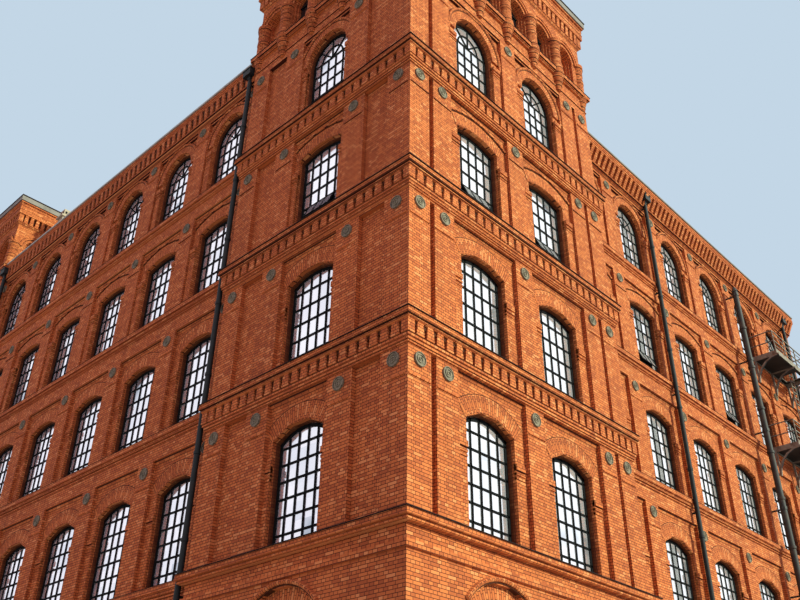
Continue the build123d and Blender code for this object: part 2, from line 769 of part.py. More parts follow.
os.makedirs("parts", exist_ok=True)
for name, piece in pieces.items():
    piece.part.label = name
    export_step(piece.part, f"parts/{name}.step")
for number, floor in enumerate(floors, start=1):
    floor.label = f"floor_{number}"
    export_step(floor, f"parts/{floor.label}.step")
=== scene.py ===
import bmesh
import bpy
from functools import partial
from math import atan2, cos, pi, radians, sin
from mathutils import Matrix, Vector


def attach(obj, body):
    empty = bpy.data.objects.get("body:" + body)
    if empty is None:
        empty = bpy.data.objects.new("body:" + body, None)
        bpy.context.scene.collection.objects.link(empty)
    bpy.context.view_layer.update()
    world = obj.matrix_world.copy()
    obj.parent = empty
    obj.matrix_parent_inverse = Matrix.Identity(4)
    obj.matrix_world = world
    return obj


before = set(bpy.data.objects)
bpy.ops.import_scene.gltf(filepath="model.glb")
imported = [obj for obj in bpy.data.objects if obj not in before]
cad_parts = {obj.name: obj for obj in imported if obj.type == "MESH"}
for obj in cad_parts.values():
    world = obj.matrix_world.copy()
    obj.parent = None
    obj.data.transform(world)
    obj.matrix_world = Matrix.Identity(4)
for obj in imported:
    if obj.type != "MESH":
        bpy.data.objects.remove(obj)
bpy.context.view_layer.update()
print("frame loaded,", len(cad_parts), "nodes")

# the block in metres, as the solids have it
plan = {
    "west": -15.13375, "south": -17.31, "towerEnd": 7.56, "towerSide": 9.57,
    "endBay": 3.25, "sideBay": 3.435, "towerEndBay": 2.22, "bays": 6,
    "endSetback": 0.2, "sideSetback": 1.35, "pilaster": 0.775,
    "panelDepth": 0.13, "glassDepth": 0.36, "windowWidth": 1.85, "eavesTop": 25.85,
}
# sill, springing, crown and top of the sunk panel for each storey
storeys = {
    "ground": (3.0, 5.83, 6.15, 6.64),
    "second": (7.5, 10.31, 10.63, 11.36),
    "third": (12.17, 14.94, 15.2, 15.81),
    "fourth": (16.67, 19.49, 19.68, 20.32),
    "fifth": (21.13, 23.53, 24.455, 24.79),
}
west, south = plan["west"], plan["south"]
towerEast, towerNorth = west + plan["towerSide"], south + plan["towerEnd"]
sideLength = plan["bays"] * plan["sideBay"] + plan["pilaster"] / 2
endLength = plan["bays"] * plan["endBay"]

# each elevation: left corner seen from outside, direction to the right, direction outwards, length
elevations = {
    "endWall": (Vector((west + plan["endSetback"], -towerNorth, 0)), Vector((0, -1, 0)), Vector((-1, 0, 0)), endLength),
    "frontWall": (Vector((towerEast, south + plan["sideSetback"], 0)), Vector((1, 0, 0)), Vector((0, -1, 0)),
                  sideLength),
    "towerEnd": (Vector((west, towerNorth, 0)), Vector((0, -1, 0)), Vector((-1, 0, 0)), plan["towerEnd"]),
    "towerSide": (Vector((west, south, 0)), Vector((1, 0, 0)), Vector((0, -1, 0)), plan["towerSide"]),
    "towerReturn": (Vector((towerEast, towerNorth, 0)), Vector((-1, 0, 0)), Vector((0, 1, 0)), plan["towerSide"]),
    "towerInner": (Vector((towerEast, south, 0)), Vector((0, 1, 0)), Vector((1, 0, 0)), plan["towerEnd"]),
}
bayCentres = {
    "endWall": [(i + 0.5) * plan["endBay"] for i in range(plan["bays"])],
    "frontWall": [(i + 0.5) * plan["sideBay"] for i in range(plan["bays"])],
    "towerEnd": [plan["towerEnd"] / 2],
    "towerSide": [(plan["towerSide"] - plan["sideBay"]) / 2, (plan["towerSide"] + plan["sideBay"]) / 2],
}
bayWidths = {
    "endWall": plan["endBay"] - plan["pilaster"], "frontWall": plan["sideBay"] - plan["pilaster"],
    "towerEnd": plan["towerEndBay"], "towerSide": plan["sideBay"] - plan["pilaster"],
}
# names of the pieces on each elevation, and of their twins across the plane Y = 0
wallNames = {
    "endWall": ("end_wall", None), "frontWall": ("front_wall", "rear_wall"),
    "towerEnd": ("corner_tower_end", "far_tower_end"), "towerSide": ("corner_tower_side", "far_tower_side"),
    "towerReturn": ("corner_tower_return", "far_tower_return"), "towerInner": ("corner_tower_inner", "far_tower_inner"),
}


def onElevation(elevation, label):
    name, twin = wallNames[elevation]
    return f"{name}_{label}", twin and f"{twin}_{label}"


def onTowers(label):
    return f"corner_{label}", f"far_{label}"


def linear(code):
    # sRGB hex to linear colour
    parts = [int(code[i:i + 2], 16) / 255 for i in (0, 2, 4)]
    return tuple(p / 12.92 if p <= 0.04045 else ((p + 0.055) / 1.055) ** 2.4 for p in parts) + (1.0,)


def feed(node, inputs):
    # a node or socket is linked, anything else is set as the input's value
    for key, value in inputs.items():
        if isinstance(value, bpy.types.Node):
            value = value.outputs[0]
        if isinstance(value, bpy.types.NodeSocket):
            node.id_data.links.new(value, node.inputs[key])
        else:
            node.inputs[key].default_value = value


def addNode(tree, kind, inputs=None, tones=(), **settings):
    node = tree.nodes.new(kind)
    for key, value in settings.items():
        setattr(node, key, value)
    for i, (spot, code) in enumerate(tones):  # stops of a colour ramp
        if i == len(node.color_ramp.elements):
            node.color_ramp.elements.new(spot)
        node.color_ramp.elements[i].position = spot
        node.color_ramp.elements[i].color = linear(code)
    feed(node, inputs or {})
    return node


def newMaterial(name):
    # the material, addNode for its tree, its shader and its coordinates
    material = bpy.data.materials.new(name)
    material.use_nodes = True
    add = partial(addNode, material.node_tree)
    return material, add, material.node_tree.nodes["Principled BSDF"], add("ShaderNodeTexCoord")


def newShapes(count):
    # empty shapes: points, faces, and where each face lies on the brick pattern
    return [{"points": [], "faces": [], "uvs": []} for i in range(count)]


def addSolid(shape, points, faces, uvs=None):
    start = len(shape["points"])
    shape["points"] += points
    shape["faces"] += [tuple(start + i for i in face) for face in faces]
    shape["uvs"] += uvs or [[(0.0, 0.0)] * len(face) for face in faces]


def onWall(elevation, u, z, out):
    # point u to the right, z up and out in front of an elevation
    corner, right, outward, length = elevations[elevation]
    return corner + right * u + outward * out + Vector((0, 0, z))


boxFaces = [(0, 2, 3, 1), (4, 5, 7, 6), (0, 1, 5, 4), (2, 6, 7, 3), (0, 4, 6, 2), (1, 3, 7, 5)]


def addBlock(shape, elevation, left, right, bottom, top, back, front):
    points = [onWall(elevation, u, z, out) for out in (back, front) for z in (bottom, top) for u in (left, right)]
    addSolid(shape, points, boxFaces)


def addBox(shape, middle, halfX, halfY, bottom, top):
    x, y = middle
    points = [Vector((x + i * halfX, y + j * halfY, z)) for z in (bottom, top) for j in (-1, 1) for i in (-1, 1)]
    addSolid(shape, points, boxFaces)


def sweep(shape, rings, closed=False, uvRings=None):
    # skin over a row of equal rings of points, capped at both ends unless it closes on itself
    count = len(rings[0])
    points = [p for ring in rings for p in ring]
    faces, uvs = [], []
    for i in range(len(rings) if closed else len(rings) - 1):
        j = (i + 1) % len(rings)
        for k in range(count):
            m = (k + 1) % count
            faces.append((i * count + k, i * count + m, j * count + m, j * count + k))
            if uvRings:
                uvs.append([uvRings[i][k], uvRings[i][m], uvRings[j][m], uvRings[j][k]])
    if not closed:
        last = (len(rings) - 1) * count
        faces += [tuple(range(count))[::-1], tuple(last + k for k in range(count))]
        if uvRings:
            uvs += [[uvRings[0][k] for k in range(count)][::-1], [uvRings[-1][k] for k in range(count)]]
    addSolid(shape, points, faces, uvs if uvRings else None)


def moved(profile, first, second):
    # a profile's points moved along its two directions
    return [(a + first, b + second) for a, b in profile]


def arcOf(width, spring, crown):
    # radius, centre height and half angle of a segment arch
    rise = crown - spring
    radius = (width * width / 4 + rise * rise) / (2 * rise)
    return radius, crown - radius, atan2(width / 2, radius - rise)


def addArchBand(shape, elevation, centre, height, profile, spread, steps):
    # sweeps a profile of (radius, out) points round an arc that spreads equally to both sides of upright
    rings, uvRings = [], []
    middle = sum(r for r, out in profile) / len(profile)
    for i in range(steps + 1):
        turn = -spread + 2 * spread * i / steps
        rings.append([onWall(elevation, centre + r * sin(turn), height + r * cos(turn), out) for r, out in profile])
        uvRings.append([(r, turn * middle) for r, out in profile])
    sweep(shape, rings, uvRings=uvRings)


def addRing(shape, elevation, centre, height, inner, outer, back, front, steps=20, spread=pi / 2):
    # flat ring on a wall, a half circle unless a spread is given
    profile = [(inner, back), (inner, front), (outer, front), (outer, back)]
    addArchBand(shape, elevation, centre, height, profile, spread, steps)


def addReveal(shape, elevation, centre, half, foot, arc, profile, steps):
    # sweeps a profile of (radius beyond the opening, out) points up one jamb, round the head and down the other
    radius, height, halfAngle = arc
    jamb = height + radius * cos(halfAngle) - foot
    across = [0.0]
    for a, b in zip(profile, profile[1:]):
        across.append(across[-1] + (Vector(b) - Vector(a)).length)
    rings = [[onWall(elevation, centre - half - r, foot, out) for r, out in profile]]
    uvRings = [[(u, 0.0) for u in across]]
    for i in range(steps + 1):
        turn = -halfAngle + 2 * halfAngle * i / steps
        rings.append([onWall(elevation, centre + (radius + r) * sin(turn), height + (radius + r) * cos(turn), out)
                      for r, out in profile])
        uvRings.append([(u, jamb + radius * (turn + halfAngle)) for u in across])
    rings.append([onWall(elevation, centre + half + r, foot, out) for r, out in profile])
    uvRings.append([(u, 2 * jamb + 2 * radius * halfAngle) for u in across])
    sweep(shape, rings, uvRings=uvRings)


def addCourse(shape, path, profile, closed=False):
    # sweeps a profile of (out, z) points along a plan path, mitred at its corners, out is to the path's right
    rings = []
    for i, here in enumerate(path):
        before = path[i - 1] if closed or i > 0 else None
        after = path[(i + 1) % len(path)] if closed or i < len(path) - 1 else None
        normals = []
        for a, b in ((before, here), (here, after)):
            if a is not None and b is not None:
                along = (Vector(b) - Vector(a)).normalized()
                normals.append(Vector((along.y, -along.x)))
        mitre = normals[0]
        if len(normals) == 2:
            mitre = (normals[0] + normals[1]) / (1 + normals[0].dot(normals[1]))
        rings.append([Vector((here[0] + mitre.x * out, here[1] + mitre.y * out, z)) for out, z in profile])
    sweep(shape, rings, closed)


def addBands(shape, path, bands, level=0.0, closed=False):
    # square courses along a plan path, each with its bottom and top from a level, and its reach
    for bottom, top, reach in bands:
        addCourse(shape, path, moved([(0.0, bottom), (0.0, top), (reach, top), (reach, bottom)], 0.0, level), closed)


def addTurned(shape, foot, profile, sides):
    # round solid about an upright axis from (radius, height) points
    rings = [[Vector((foot[0] + r * cos(2 * pi * k / sides), foot[1] + r * sin(2 * pi * k / sides), z))
              for k in range(sides)] for r, z in profile]
    sweep(shape, rings)


def addTube(shape, foot, inner, radius, bottom, top, sides, bevel=0.0):
    # skin of a pipe, collar or groove, closed inside the round solid that it lies on
    addTurned(shape, foot, [(inner, bottom), (radius, bottom + bevel), (radius, top - bevel), (inner, top)], sides)


def finishMesh(name, mesh, material):
    piece = bpy.data.objects.new(name, mesh)
    bpy.context.scene.collection.objects.link(piece)
    mesh.materials.clear()
    mesh.materials.append(material)
    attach(piece, "root")


sharpEdge = radians(38)


def makePiece(names, shape, material, smooth=False):
    # mesh from a shape, and its mirror image across the plane Y = 0 if it has a twin
    for name, flip in zip(names, (1, -1)):
        if name is None:
            continue
        mesh = bpy.data.meshes.new(name)
        mesh.from_pydata([(p.x, p.y * flip, p.z) for p in shape["points"]], [], shape["faces"])
        layer = mesh.uv_layers.new(name="brickUV")
        layer.data.foreach_set("uv", [c for face in shape["uvs"] for uv in face for c in uv])
        work = bmesh.new()
        work.from_mesh(mesh)
        bmesh.ops.recalc_face_normals(work, faces=work.faces)
        work.to_mesh(mesh)
        work.free()
        if smooth:
            mesh.shade_smooth()
            mesh.set_sharp_from_angle(angle=sharpEdge)
        else:
            mesh.shade_flat()
        finishMesh(name, mesh, material)


def bakeTree(names, mesh, tree, values, material):
    # runs a Geometry Nodes tree on a mesh of guide points or lines and keeps the plain result
    given = {**values, "Finish": material}
    for name, flip in zip(names, (1, -1)):
        if name is None:
            continue
        guide = bpy.data.objects.new(name + "Guide", mesh)
        bpy.context.scene.collection.objects.link(guide)
        modifier = guide.modifiers.new("repeat", "NODES")
        modifier.node_group = tree
        for item in tree.interface.items_tree:
            if item.item_type == "SOCKET" and item.in_out == "INPUT" and item.name in given:
                modifier[item.identifier] = given[item.name]
        guide.update_tag()
        bpy.context.view_layer.update()
        result = bpy.data.meshes.new_from_object(guide.evaluated_get(bpy.context.evaluated_depsgraph_get()))
        result.name = name
        guide.modifiers.remove(modifier)
        bpy.data.objects.remove(guide)
        if flip < 0:
            result.transform(Matrix.Diagonal((1, -1, 1, 1)))
            result.flip_normals()
        finishMesh(name, result, material)


def makeTeeth(names, runs, sizes, material):
    # guide mesh with one edge for each straight run of teeth
    mesh = bpy.data.meshes.new("toothRuns")
    mesh.from_pydata([p for run in runs for p in run], [(2 * i, 2 * i + 1) for i in range(len(runs))], [])
    bakeTree(names, mesh, teethTree, sizes, material)


def makeBars(names, bars, material):
    # guide mesh with one point for each bar, carrying its size and turn
    mesh = bpy.data.meshes.new("barPoints")
    mesh.from_pydata([bar[0] for bar in bars], [], [])
    for label, index in (("barSize", 1), ("barTurn", 2)):
        layer = mesh.attributes.new(label, "FLOAT_VECTOR", "POINT")
        layer.data.foreach_set("vector", [c for bar in bars for c in bar[index]])
    bakeTree(names, mesh, barsTree, {"Thickness": 1.0}, material)


def wallBar(elevation, u, z, out, size, tilt=0.0, lean=0.0):
    # bar centred on a wall place, its size along right, outwards and up, tilted in the wall or leaning out of it
    corner, right, outward, length = elevations[elevation]
    base = Matrix((right, outward, Vector((0, 0, 1)))).transposed()
    turn = base @ Matrix.Rotation(tilt, 3, "Y") @ Matrix.Rotation(lean, 3, "X")
    return onWall(elevation, u, z, out), size, tuple(turn.to_euler())


def newRepeat(name, source, result, starts):
    # a tree with its named inputs and their starting values, addNode for it, and what it is given
    tree = bpy.data.node_groups.new(name, "GeometryNodeTree")
    tree.interface.new_socket(source, in_out="INPUT", socket_type="NodeSocketGeometry")
    for label, start in starts.items():
        tree.interface.new_socket(label, in_out="INPUT", socket_type="NodeSocketFloat").default_value = start
    tree.interface.new_socket("Finish", in_out="INPUT", socket_type="NodeSocketMaterial")
    tree.interface.new_socket(result, in_out="OUTPUT", socket_type="NodeSocketGeometry")
    return tree, partial(addNode, tree), addNode(tree, "NodeGroupInput").outputs


def repeatOn(add, given, inputs):
    # the repeated solid on its points, made real and given its finish
    copies = add("GeometryNodeInstanceOnPoints", inputs)
    real = add("GeometryNodeRealizeInstances", {0: copies})
    finish = add("GeometryNodeSetMaterial", {"Geometry": real, "Material": given["Finish"]})
    add("NodeGroupOutput", {0: finish})


def courseTree():
    # blocks at an even pitch along straight runs, wider at their feet and leaning out at their tops
    tree, add, given = newRepeat("teethAlongCourse", "Runs", "Teeth", {
        "Pitch": 0.34, "Width": 0.2, "Depth": 0.1, "Height": 0.36, "Taper": 1.0, "Lean": 0.0})
    curve = add("GeometryNodeMeshToCurve", {"Mesh": given["Runs"]})
    even = add("GeometryNodeResampleCurve", {"Curve": curve, "Length": given["Pitch"]}, mode="LENGTH")
    size = add("ShaderNodeCombineXYZ", {0: given["Width"], 1: given["Depth"], 2: given["Height"]})
    cube = add("GeometryNodeMeshCube", {"Size": size})
    place = add("GeometryNodeInputPosition")
    x, y, z = add("ShaderNodeSeparateXYZ", {0: place}).outputs
    # the four lower corners move apart
    below = add("FunctionNodeCompare", {0: z, 1: 0.0}, operation="LESS_THAN")
    wider = add("ShaderNodeMath", {0: x, 1: given["Taper"]}, operation="MULTIPLY")
    foot = add("ShaderNodeCombineXYZ", {0: wider, 1: y, 2: z})
    widened = add("GeometryNodeSetPosition", {"Geometry": cube, "Selection": below, "Position": foot})
    # the two upper corners in front move out
    front = add("FunctionNodeCompare", {0: y, 1: 0.0}, operation="LESS_THAN")
    above = add("FunctionNodeCompare", {0: z, 1: 0.0}, operation="GREATER_THAN")
    both = add("FunctionNodeBooleanMath", {0: front, 1: above}, operation="AND")
    away = add("ShaderNodeMath", {0: given["Lean"], 1: -1.0}, operation="MULTIPLY")
    shift = add("ShaderNodeCombineXYZ", {1: away})
    tooth = add("GeometryNodeSetPosition", {"Geometry": widened, "Selection": both, "Offset": shift})
    tangent = add("GeometryNodeInputTangent")
    turn = add("FunctionNodeAlignRotationToVector", {"Vector": tangent}, axis="X", pivot_axis="Z")
    repeatOn(add, given, {"Points": even, "Instance": tooth, "Rotation": turn})
    return tree


def barTree():
    # square bars of any size and turn, one on each guide point
    tree, add, given = newRepeat("barsOnPoints", "Places", "Bars", {"Thickness": 1.0})
    cube = add("GeometryNodeMeshCube", {"Size": (1.0, 1.0, 1.0)})
    size = add("GeometryNodeInputNamedAttribute", {"Name": "barSize"}, data_type="FLOAT_VECTOR")
    grown = add("ShaderNodeVectorMath", {0: size, "Scale": given["Thickness"]}, operation="SCALE")
    turn = add("GeometryNodeInputNamedAttribute", {"Name": "barTurn"}, data_type="FLOAT_VECTOR")
    repeatOn(add, given, {"Points": given["Places"], "Instance": cube, "Rotation": turn, "Scale": grown})
    return tree


teethTree = courseTree()
barsTree = barTree()
print("geometry trees built")

brick = {
    "course": 0.0787, "length": 0.262, "joint": 0.008,  # a 67 mm brick and its joint, in metres
    "tones": [(0.0, "a6562e"), (0.25, "b86233"), (0.5, "c26b38"), (0.8, "ca733d"), (1.0, "d98a53")],
    "joints": "471f13", "sootAndPaintedShade": "4a221a",
    # patterns to the metre: firing differs in patches of 2200 mm, rain streaks are 400 mm wide and 4500 mm long,
    # and grit of 17 mm is coarser than the real 2 mm, so that it shows
    "firing": 0.45, "streaks": (2.6, 0.22, 0.3), "grit": 60.0,
}


def brickFinish(name, followsUv=False, shade=1.0):
    # facing brick fired in a coal kiln: matt and gritty, each brick its own red, in dark lime joints
    material, add, shader, coords = newMaterial(name)
    spot = coords.outputs["Object"]
    x, y, z = add("ShaderNodeSeparateXYZ", {0: spot}).outputs
    if followsUv:
        uv = add("ShaderNodeUVMap", uv_map="brickUV")
        across, up = add("ShaderNodeSeparateXYZ", {0: uv}).outputs[:2]
    else:
        # courses run along X on the long sides and along Y on the ends
        facing = add("ShaderNodeSeparateXYZ", {0: coords.outputs["Normal"]})
        sideways = add("ShaderNodeMath", {0: facing}, operation="ABSOLUTE")
        onEnd = add("ShaderNodeMath", {0: sideways, 1: 0.7}, operation="GREATER_THAN")
        across, up = add("ShaderNodeMix", {0: onEnd, 2: x, 3: y}).outputs[0], z
    place = add("ShaderNodeCombineXYZ", {0: across, 1: up})
    bond = add("ShaderNodeTexBrick",
               {"Vector": place, "Color1": (0, 0, 0, 1), "Color2": (1, 1, 1, 1), "Mortar": (0, 0, 0, 1),
                "Scale": 1.0, "Mortar Size": brick["joint"], "Mortar Smooth": 0.3, "Bias": 0.0,
                "Brick Width": brick["length"], "Row Height": brick["course"]},
               offset=0.5, offset_frequency=2, squash=0.5, squash_frequency=2)
    tones = add("ShaderNodeValToRGB", {0: bond}, brick["tones"])
    batch = add("ShaderNodeTexNoise", {"Vector": spot, "Scale": brick["firing"], "Detail": 4.0})
    # a shade below 1 darkens the whole finish: painted shade
    batchTone = add("ShaderNodeMapRange", {0: batch, 1: 0.3, 2: 0.7, 3: 0.92 * shade, 4: 1.08 * shade})
    warm = add("ShaderNodeVectorMath", {0: tones, "Scale": batchTone}, operation="SCALE")
    # soot washed down in streaks
    streakSpot = add("ShaderNodeCombineXYZ", {0: across, 1: z, 2: y})
    streakScale = add("ShaderNodeVectorMath", {0: streakSpot, 1: brick["streaks"]}, operation="MULTIPLY")
    streak = add("ShaderNodeTexNoise", {"Vector": streakScale, "Scale": 1.0, "Detail": 5.0})
    streakTone = add("ShaderNodeMapRange", {0: streak, 1: 0.52, 2: 0.8, 3: 0.0, 4: 0.28})
    dirty = add("ShaderNodeMix", {0: streakTone, 6: warm, 7: linear(brick["sootAndPaintedShade"])}, data_type="RGBA")
    jointed = add("ShaderNodeMix", {0: bond.outputs["Fac"], 6: dirty.outputs[2], 7: linear(brick["joints"])},
                  data_type="RGBA")
    grain = add("ShaderNodeTexNoise", {"Vector": spot, "Scale": brick["grit"], "Detail": 3.0})
    rough = add("ShaderNodeMapRange", {0: grain, 3: 0.8, 4: 0.95})
    sunk = add("ShaderNodeMath", {0: grain, 1: bond.outputs["Fac"]}, operation="SUBTRACT")
    relief = add("ShaderNodeBump", {"Height": sunk, "Strength": 0.45, "Distance": 0.006})
    feed(shader, {"Base Color": jointed.outputs[2], "Roughness": rough, "Normal": relief, "Specular IOR Level": 0.2})
    return material


glazing = {
    "pane": (0.37, 0.37, 0.455), "foot": 3.0, "clear": 13.0, "belvedere": 25.5, "dark": "10161a",
    "tones": [(0.0, "3f474e"), (0.3, "98a2ac"), (0.42, "e2e5ea"), (0.7, "f6f5f7"), (1.0, "ffffff")],
    "mirrored": 0.5, "waves": 2.2,  # to the metre: mirrored tones change over 2000 mm, waves from the drawing 450 mm
}


def paneFinish():
    # drawn sheet glass: mirrors the sky's glow and is wavy; its tones are painted reflection, a little different in
    # each pane and darker near the street, and black painted shade behind the deep belvedere arches
    material, add, shader, coords = newMaterial("windowGlass")
    spot = coords.outputs["Object"]
    z = add("ShaderNodeSeparateXYZ", {0: spot}).outputs[2]
    paneSpot = add("ShaderNodeVectorMath", {0: spot, 1: glazing["pane"]}, operation="SNAP")
    pane = add("ShaderNodeTexWhiteNoise", {"Vector": paneSpot}, noise_dimensions="3D")
    mirrored = add("ShaderNodeTexNoise", {"Vector": spot, "Scale": glazing["mirrored"], "Detail": 3.0})
    mixed = add("ShaderNodeMath", {0: pane, 1: 0.3, 2: mirrored}, operation="MULTIPLY_ADD")
    lower = add("ShaderNodeMapRange", {0: z, 1: glazing["foot"], 2: glazing["clear"], 3: -0.14, 4: 0.0})
    value = add("ShaderNodeMath", {0: mixed, 1: lower}, operation="ADD")
    tones = add("ShaderNodeValToRGB", {0: value}, glazing["tones"])
    high = add("ShaderNodeMath", {0: z, 1: glazing["belvedere"]}, operation="GREATER_THAN")
    colour = add("ShaderNodeMix", {0: high, 6: tones, 7: linear(glazing["dark"])}, data_type="RGBA")
    mirror = add("ShaderNodeMapRange", {0: high, 1: 0.0, 2: 1.0, 3: 0.75, 4: 0.0})
    wave = add("ShaderNodeTexNoise", {"Vector": spot, "Scale": glazing["waves"], "Detail": 1.0})
    relief = add("ShaderNodeBump", {"Height": wave, "Strength": 0.08, "Distance": 0.05})
    feed(shader, {"Base Color": colour.outputs[2], "Metallic": mirror, "Roughness": 0.1, "Normal": relief})
    return material


def wornFinish(name, base, worn, share, spots, metallic, roughness, undersideShade=None):
    # a coat or patina worn through in a share of spots, so many to the metre, and painted shade where it faces the
    # ground
    material, add, shader, coords = newMaterial(name)
    patch = add("ShaderNodeTexNoise",
                {"Vector": coords.outputs["Object"], "Scale": spots, "Detail": 6.0, "Roughness": 0.65})
    through = add("ShaderNodeMapRange", {0: patch, 1: 0.62 - share / 2, 2: 0.68, 3: 0.0, 4: 1.0})
    colour = add("ShaderNodeMix", {0: through, 6: linear(base), 7: linear(worn)}, data_type="RGBA")
    if undersideShade:
        facing = add("ShaderNodeSeparateXYZ", {0: coords.outputs["Normal"]})
        down = add("ShaderNodeMath", {0: facing.outputs[2], 1: -0.3}, operation="LESS_THAN")
        colour = add("ShaderNodeMix", {0: down, 6: colour.outputs[2], 7: linear(undersideShade)}, data_type="RGBA")
    rough = add("ShaderNodeMapRange", {0: patch, 3: roughness - 0.12, 4: roughness + 0.15})
    relief = add("ShaderNodeBump", {"Height": patch, "Strength": 0.15, "Distance": 0.004})
    feed(shader, {"Base Color": colour.outputs[2], "Roughness": rough, "Normal": relief, "Metallic": metallic,
                  "Specular IOR Level": 0.3 if roughness < 0.7 else 0.1})
    return material


roofing = {
    "strip": 0.6, "seam": 0.06, "tones": [(0.2, "6d7270"), (0.8, "9a9f9b")], "seams": "5d615f",
    "stains": 1.1,  # to the metre, 900 mm each
}


def seamedSheet():
    # rolled zinc gone dull in the rain: blue-grey strips 600 mm wide with upstanding seams, each strip its own grey
    material, add, shader, coords = newMaterial("seamedZincSheet")
    x, y = add("ShaderNodeSeparateXYZ", {0: coords.outputs["Object"]}).outputs[:2]
    facing = add("ShaderNodeSeparateXYZ", {0: coords.outputs["Normal"]})
    lengthwise = add("ShaderNodeMath", {0: facing}, operation="ABSOLUTE")
    onHip = add("ShaderNodeMath", {0: lengthwise, 1: 0.02}, operation="GREATER_THAN")
    across = add("ShaderNodeMix", {0: onHip, 2: x, 3: y})
    strip = add("ShaderNodeMath", {0: across, 1: roofing["strip"]}, operation="DIVIDE")
    within = add("ShaderNodeMath", {0: strip}, operation="FRACT")
    seam = add("ShaderNodeMath", {0: within, 1: roofing["seam"]}, operation="LESS_THAN")
    number = add("ShaderNodeMath", {0: strip}, operation="FLOOR")
    sheet = add("ShaderNodeTexWhiteNoise", {"W": number}, noise_dimensions="1D")
    patch = add("ShaderNodeTexNoise", {"Vector": coords.outputs["Object"], "Scale": roofing["stains"], "Detail": 6.0})
    mixed = add("ShaderNodeMath", {0: sheet, 1: 0.3, 2: patch}, operation="MULTIPLY_ADD")
    tones = add("ShaderNodeValToRGB", {0: mixed}, roofing["tones"])
    colour = add("ShaderNodeMix", {0: seam, 6: tones, 7: linear(roofing["seams"])}, data_type="RGBA")
    relief = add("ShaderNodeBump", {"Height": seam, "Strength": 0.8, "Distance": 0.03})
    feed(shader, {"Base Color": colour.outputs[2], "Normal": relief, "Metallic": 0.4, "Roughness": 0.5})
    return material


wallBrick = brickFinish("firedBrickwork")
archBrick = brickFinish("firedArchBrick", followsUv=True)  # joints point to the arch's centre
revealShadeBrick = brickFinish("paintedShadeRevealBrick", followsUv=True, shade=0.24)  # painted shade: brick darkened to brown in the reveals, out of the sun
paintedShadeBrick = brickFinish("paintedShadeRecessBrick", shade=0.14)  # painted shade: brick darkened nearly to black, for the hollows, grooves and undersides where shade falls
glass = paneFinish()
# each with its tones, the share worn, spots to the metre (coarser than the real wear and grain, so that they show),
# metallic and roughness
windowIron = wornFinish("paintedWindowIron", "0a0b0c", "161819", 0.2, 3.0, 0.0, 0.8)  # oil paint: flat and black
castIron = wornFinish("weatheredCastIron", "7d725c", "3b3830", 0.3, 14.0, 0.1, 0.65)  # sand cast: stone grey, grainy
darkIron = wornFinish("darkCastIron", "191a16", "2b2a24", 0.25, 14.0, 0.0, 0.75)  # sand cast, shadowed: near black
pipeSteel = wornFinish("paintedSteelPipe", "131415", "26211e", 0.2, 2.5, 0.0, 0.65)  # brushed paint: dark, faint sheen
flueSteel = wornFinish("sootedSteelFlue", "2e2a27", "463a31", 0.25, 2.5, 0.1, 0.6)  # rolled steel, smoked brown
escapeSteel = wornFinish("weatheredEscapeSteelShadedBelow", "82796a", "5b4533", 0.3, 3.5, 0.1, 0.65, "1b1714")  # rusting paint, with painted shade on its undersides
zincSheet = seamedSheet()
gutterSheet = wornFinish("paintedGutterSheet", "756c62", "5d5750", 0.25, 1.6, 0.1, 0.6)  # folded sheet: warm grey
gutterEdge = wornFinish("paleLitGutterEdge", "a9a69b", "8a8980", 0.25, 1.6, 0.1, 0.55)  # painted light: the same gutter as the front wall's, painted pale for the shaded end wall
leadFlashing = wornFinish("darkLeadFlashing", "241917", "35292a", 0.2, 4.0, 0.0, 0.75)  # dressed lead: a dark line
boards = wornFinish("wornFloorBoards", "6b5238", "4b3a29", 0.4, 1.5, 0.0, 0.8)  # sawn pine, oiled and worn brown
limeRender = wornFinish("limeRender", "ad9f88", "8a7c69", 0.3, 1.8, 0.0, 0.85)  # floated lime: chalky, stained
darkVoid = wornFinish("unlitInterior", "0b0d0e", "15181a", 0.3, 2.0, 0.0, 0.7)  # an unlit room: nothing to see
print("materials made")

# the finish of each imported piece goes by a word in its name
nodeFinishes = {
    "windows": glass, "main_roof": zincSheet, "tower_roof": gutterSheet, "downpipe": pipeSteel, "flue": flueSteel,
    "escape": escapeSteel, "floor": boards, "chimney": limeRender,
}
for name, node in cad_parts.items():
    finish = next((value for key, value in nodeFinishes.items() if key in name), wallBrick)
    for place in node.material_slots:
        place.material = finish

grid = {
    "bar": 0.05, "frame": 0.085, "depth": 0.026, "headGap": 0.06,
    "columns": 5, "rows": {"ground": 6, "second": 7, "third": 6, "fourth": 6, "fifth": 5},
    "fanRadius": 0.5, "fanTurns": (-pi / 4, 0.0, pi / 4),
    "archSteps": {"ground": 8, "second": 8, "third": 8, "fourth": 8, "fifth": 16},
}
vent = {
    "storey": "fourth", "row": 2, "columns": (1, 4), "lean": 0.4, "standoff": 0.12, "bar": 0.04, "sheet": 0.012,
    "walls": {"towerEnd": (0,), "towerSide": (0, 1), "frontWall": (1, 3)},
}


def archHeight(storey, offset):
    # height of an opening's head at a distance from its centre
    sill, spring, crown, panel = storeys[storey]
    radius, centre, halfAngle = arcOf(plan["windowWidth"], spring, crown)
    return centre + max(radius * radius - offset * offset, 0) ** 0.5


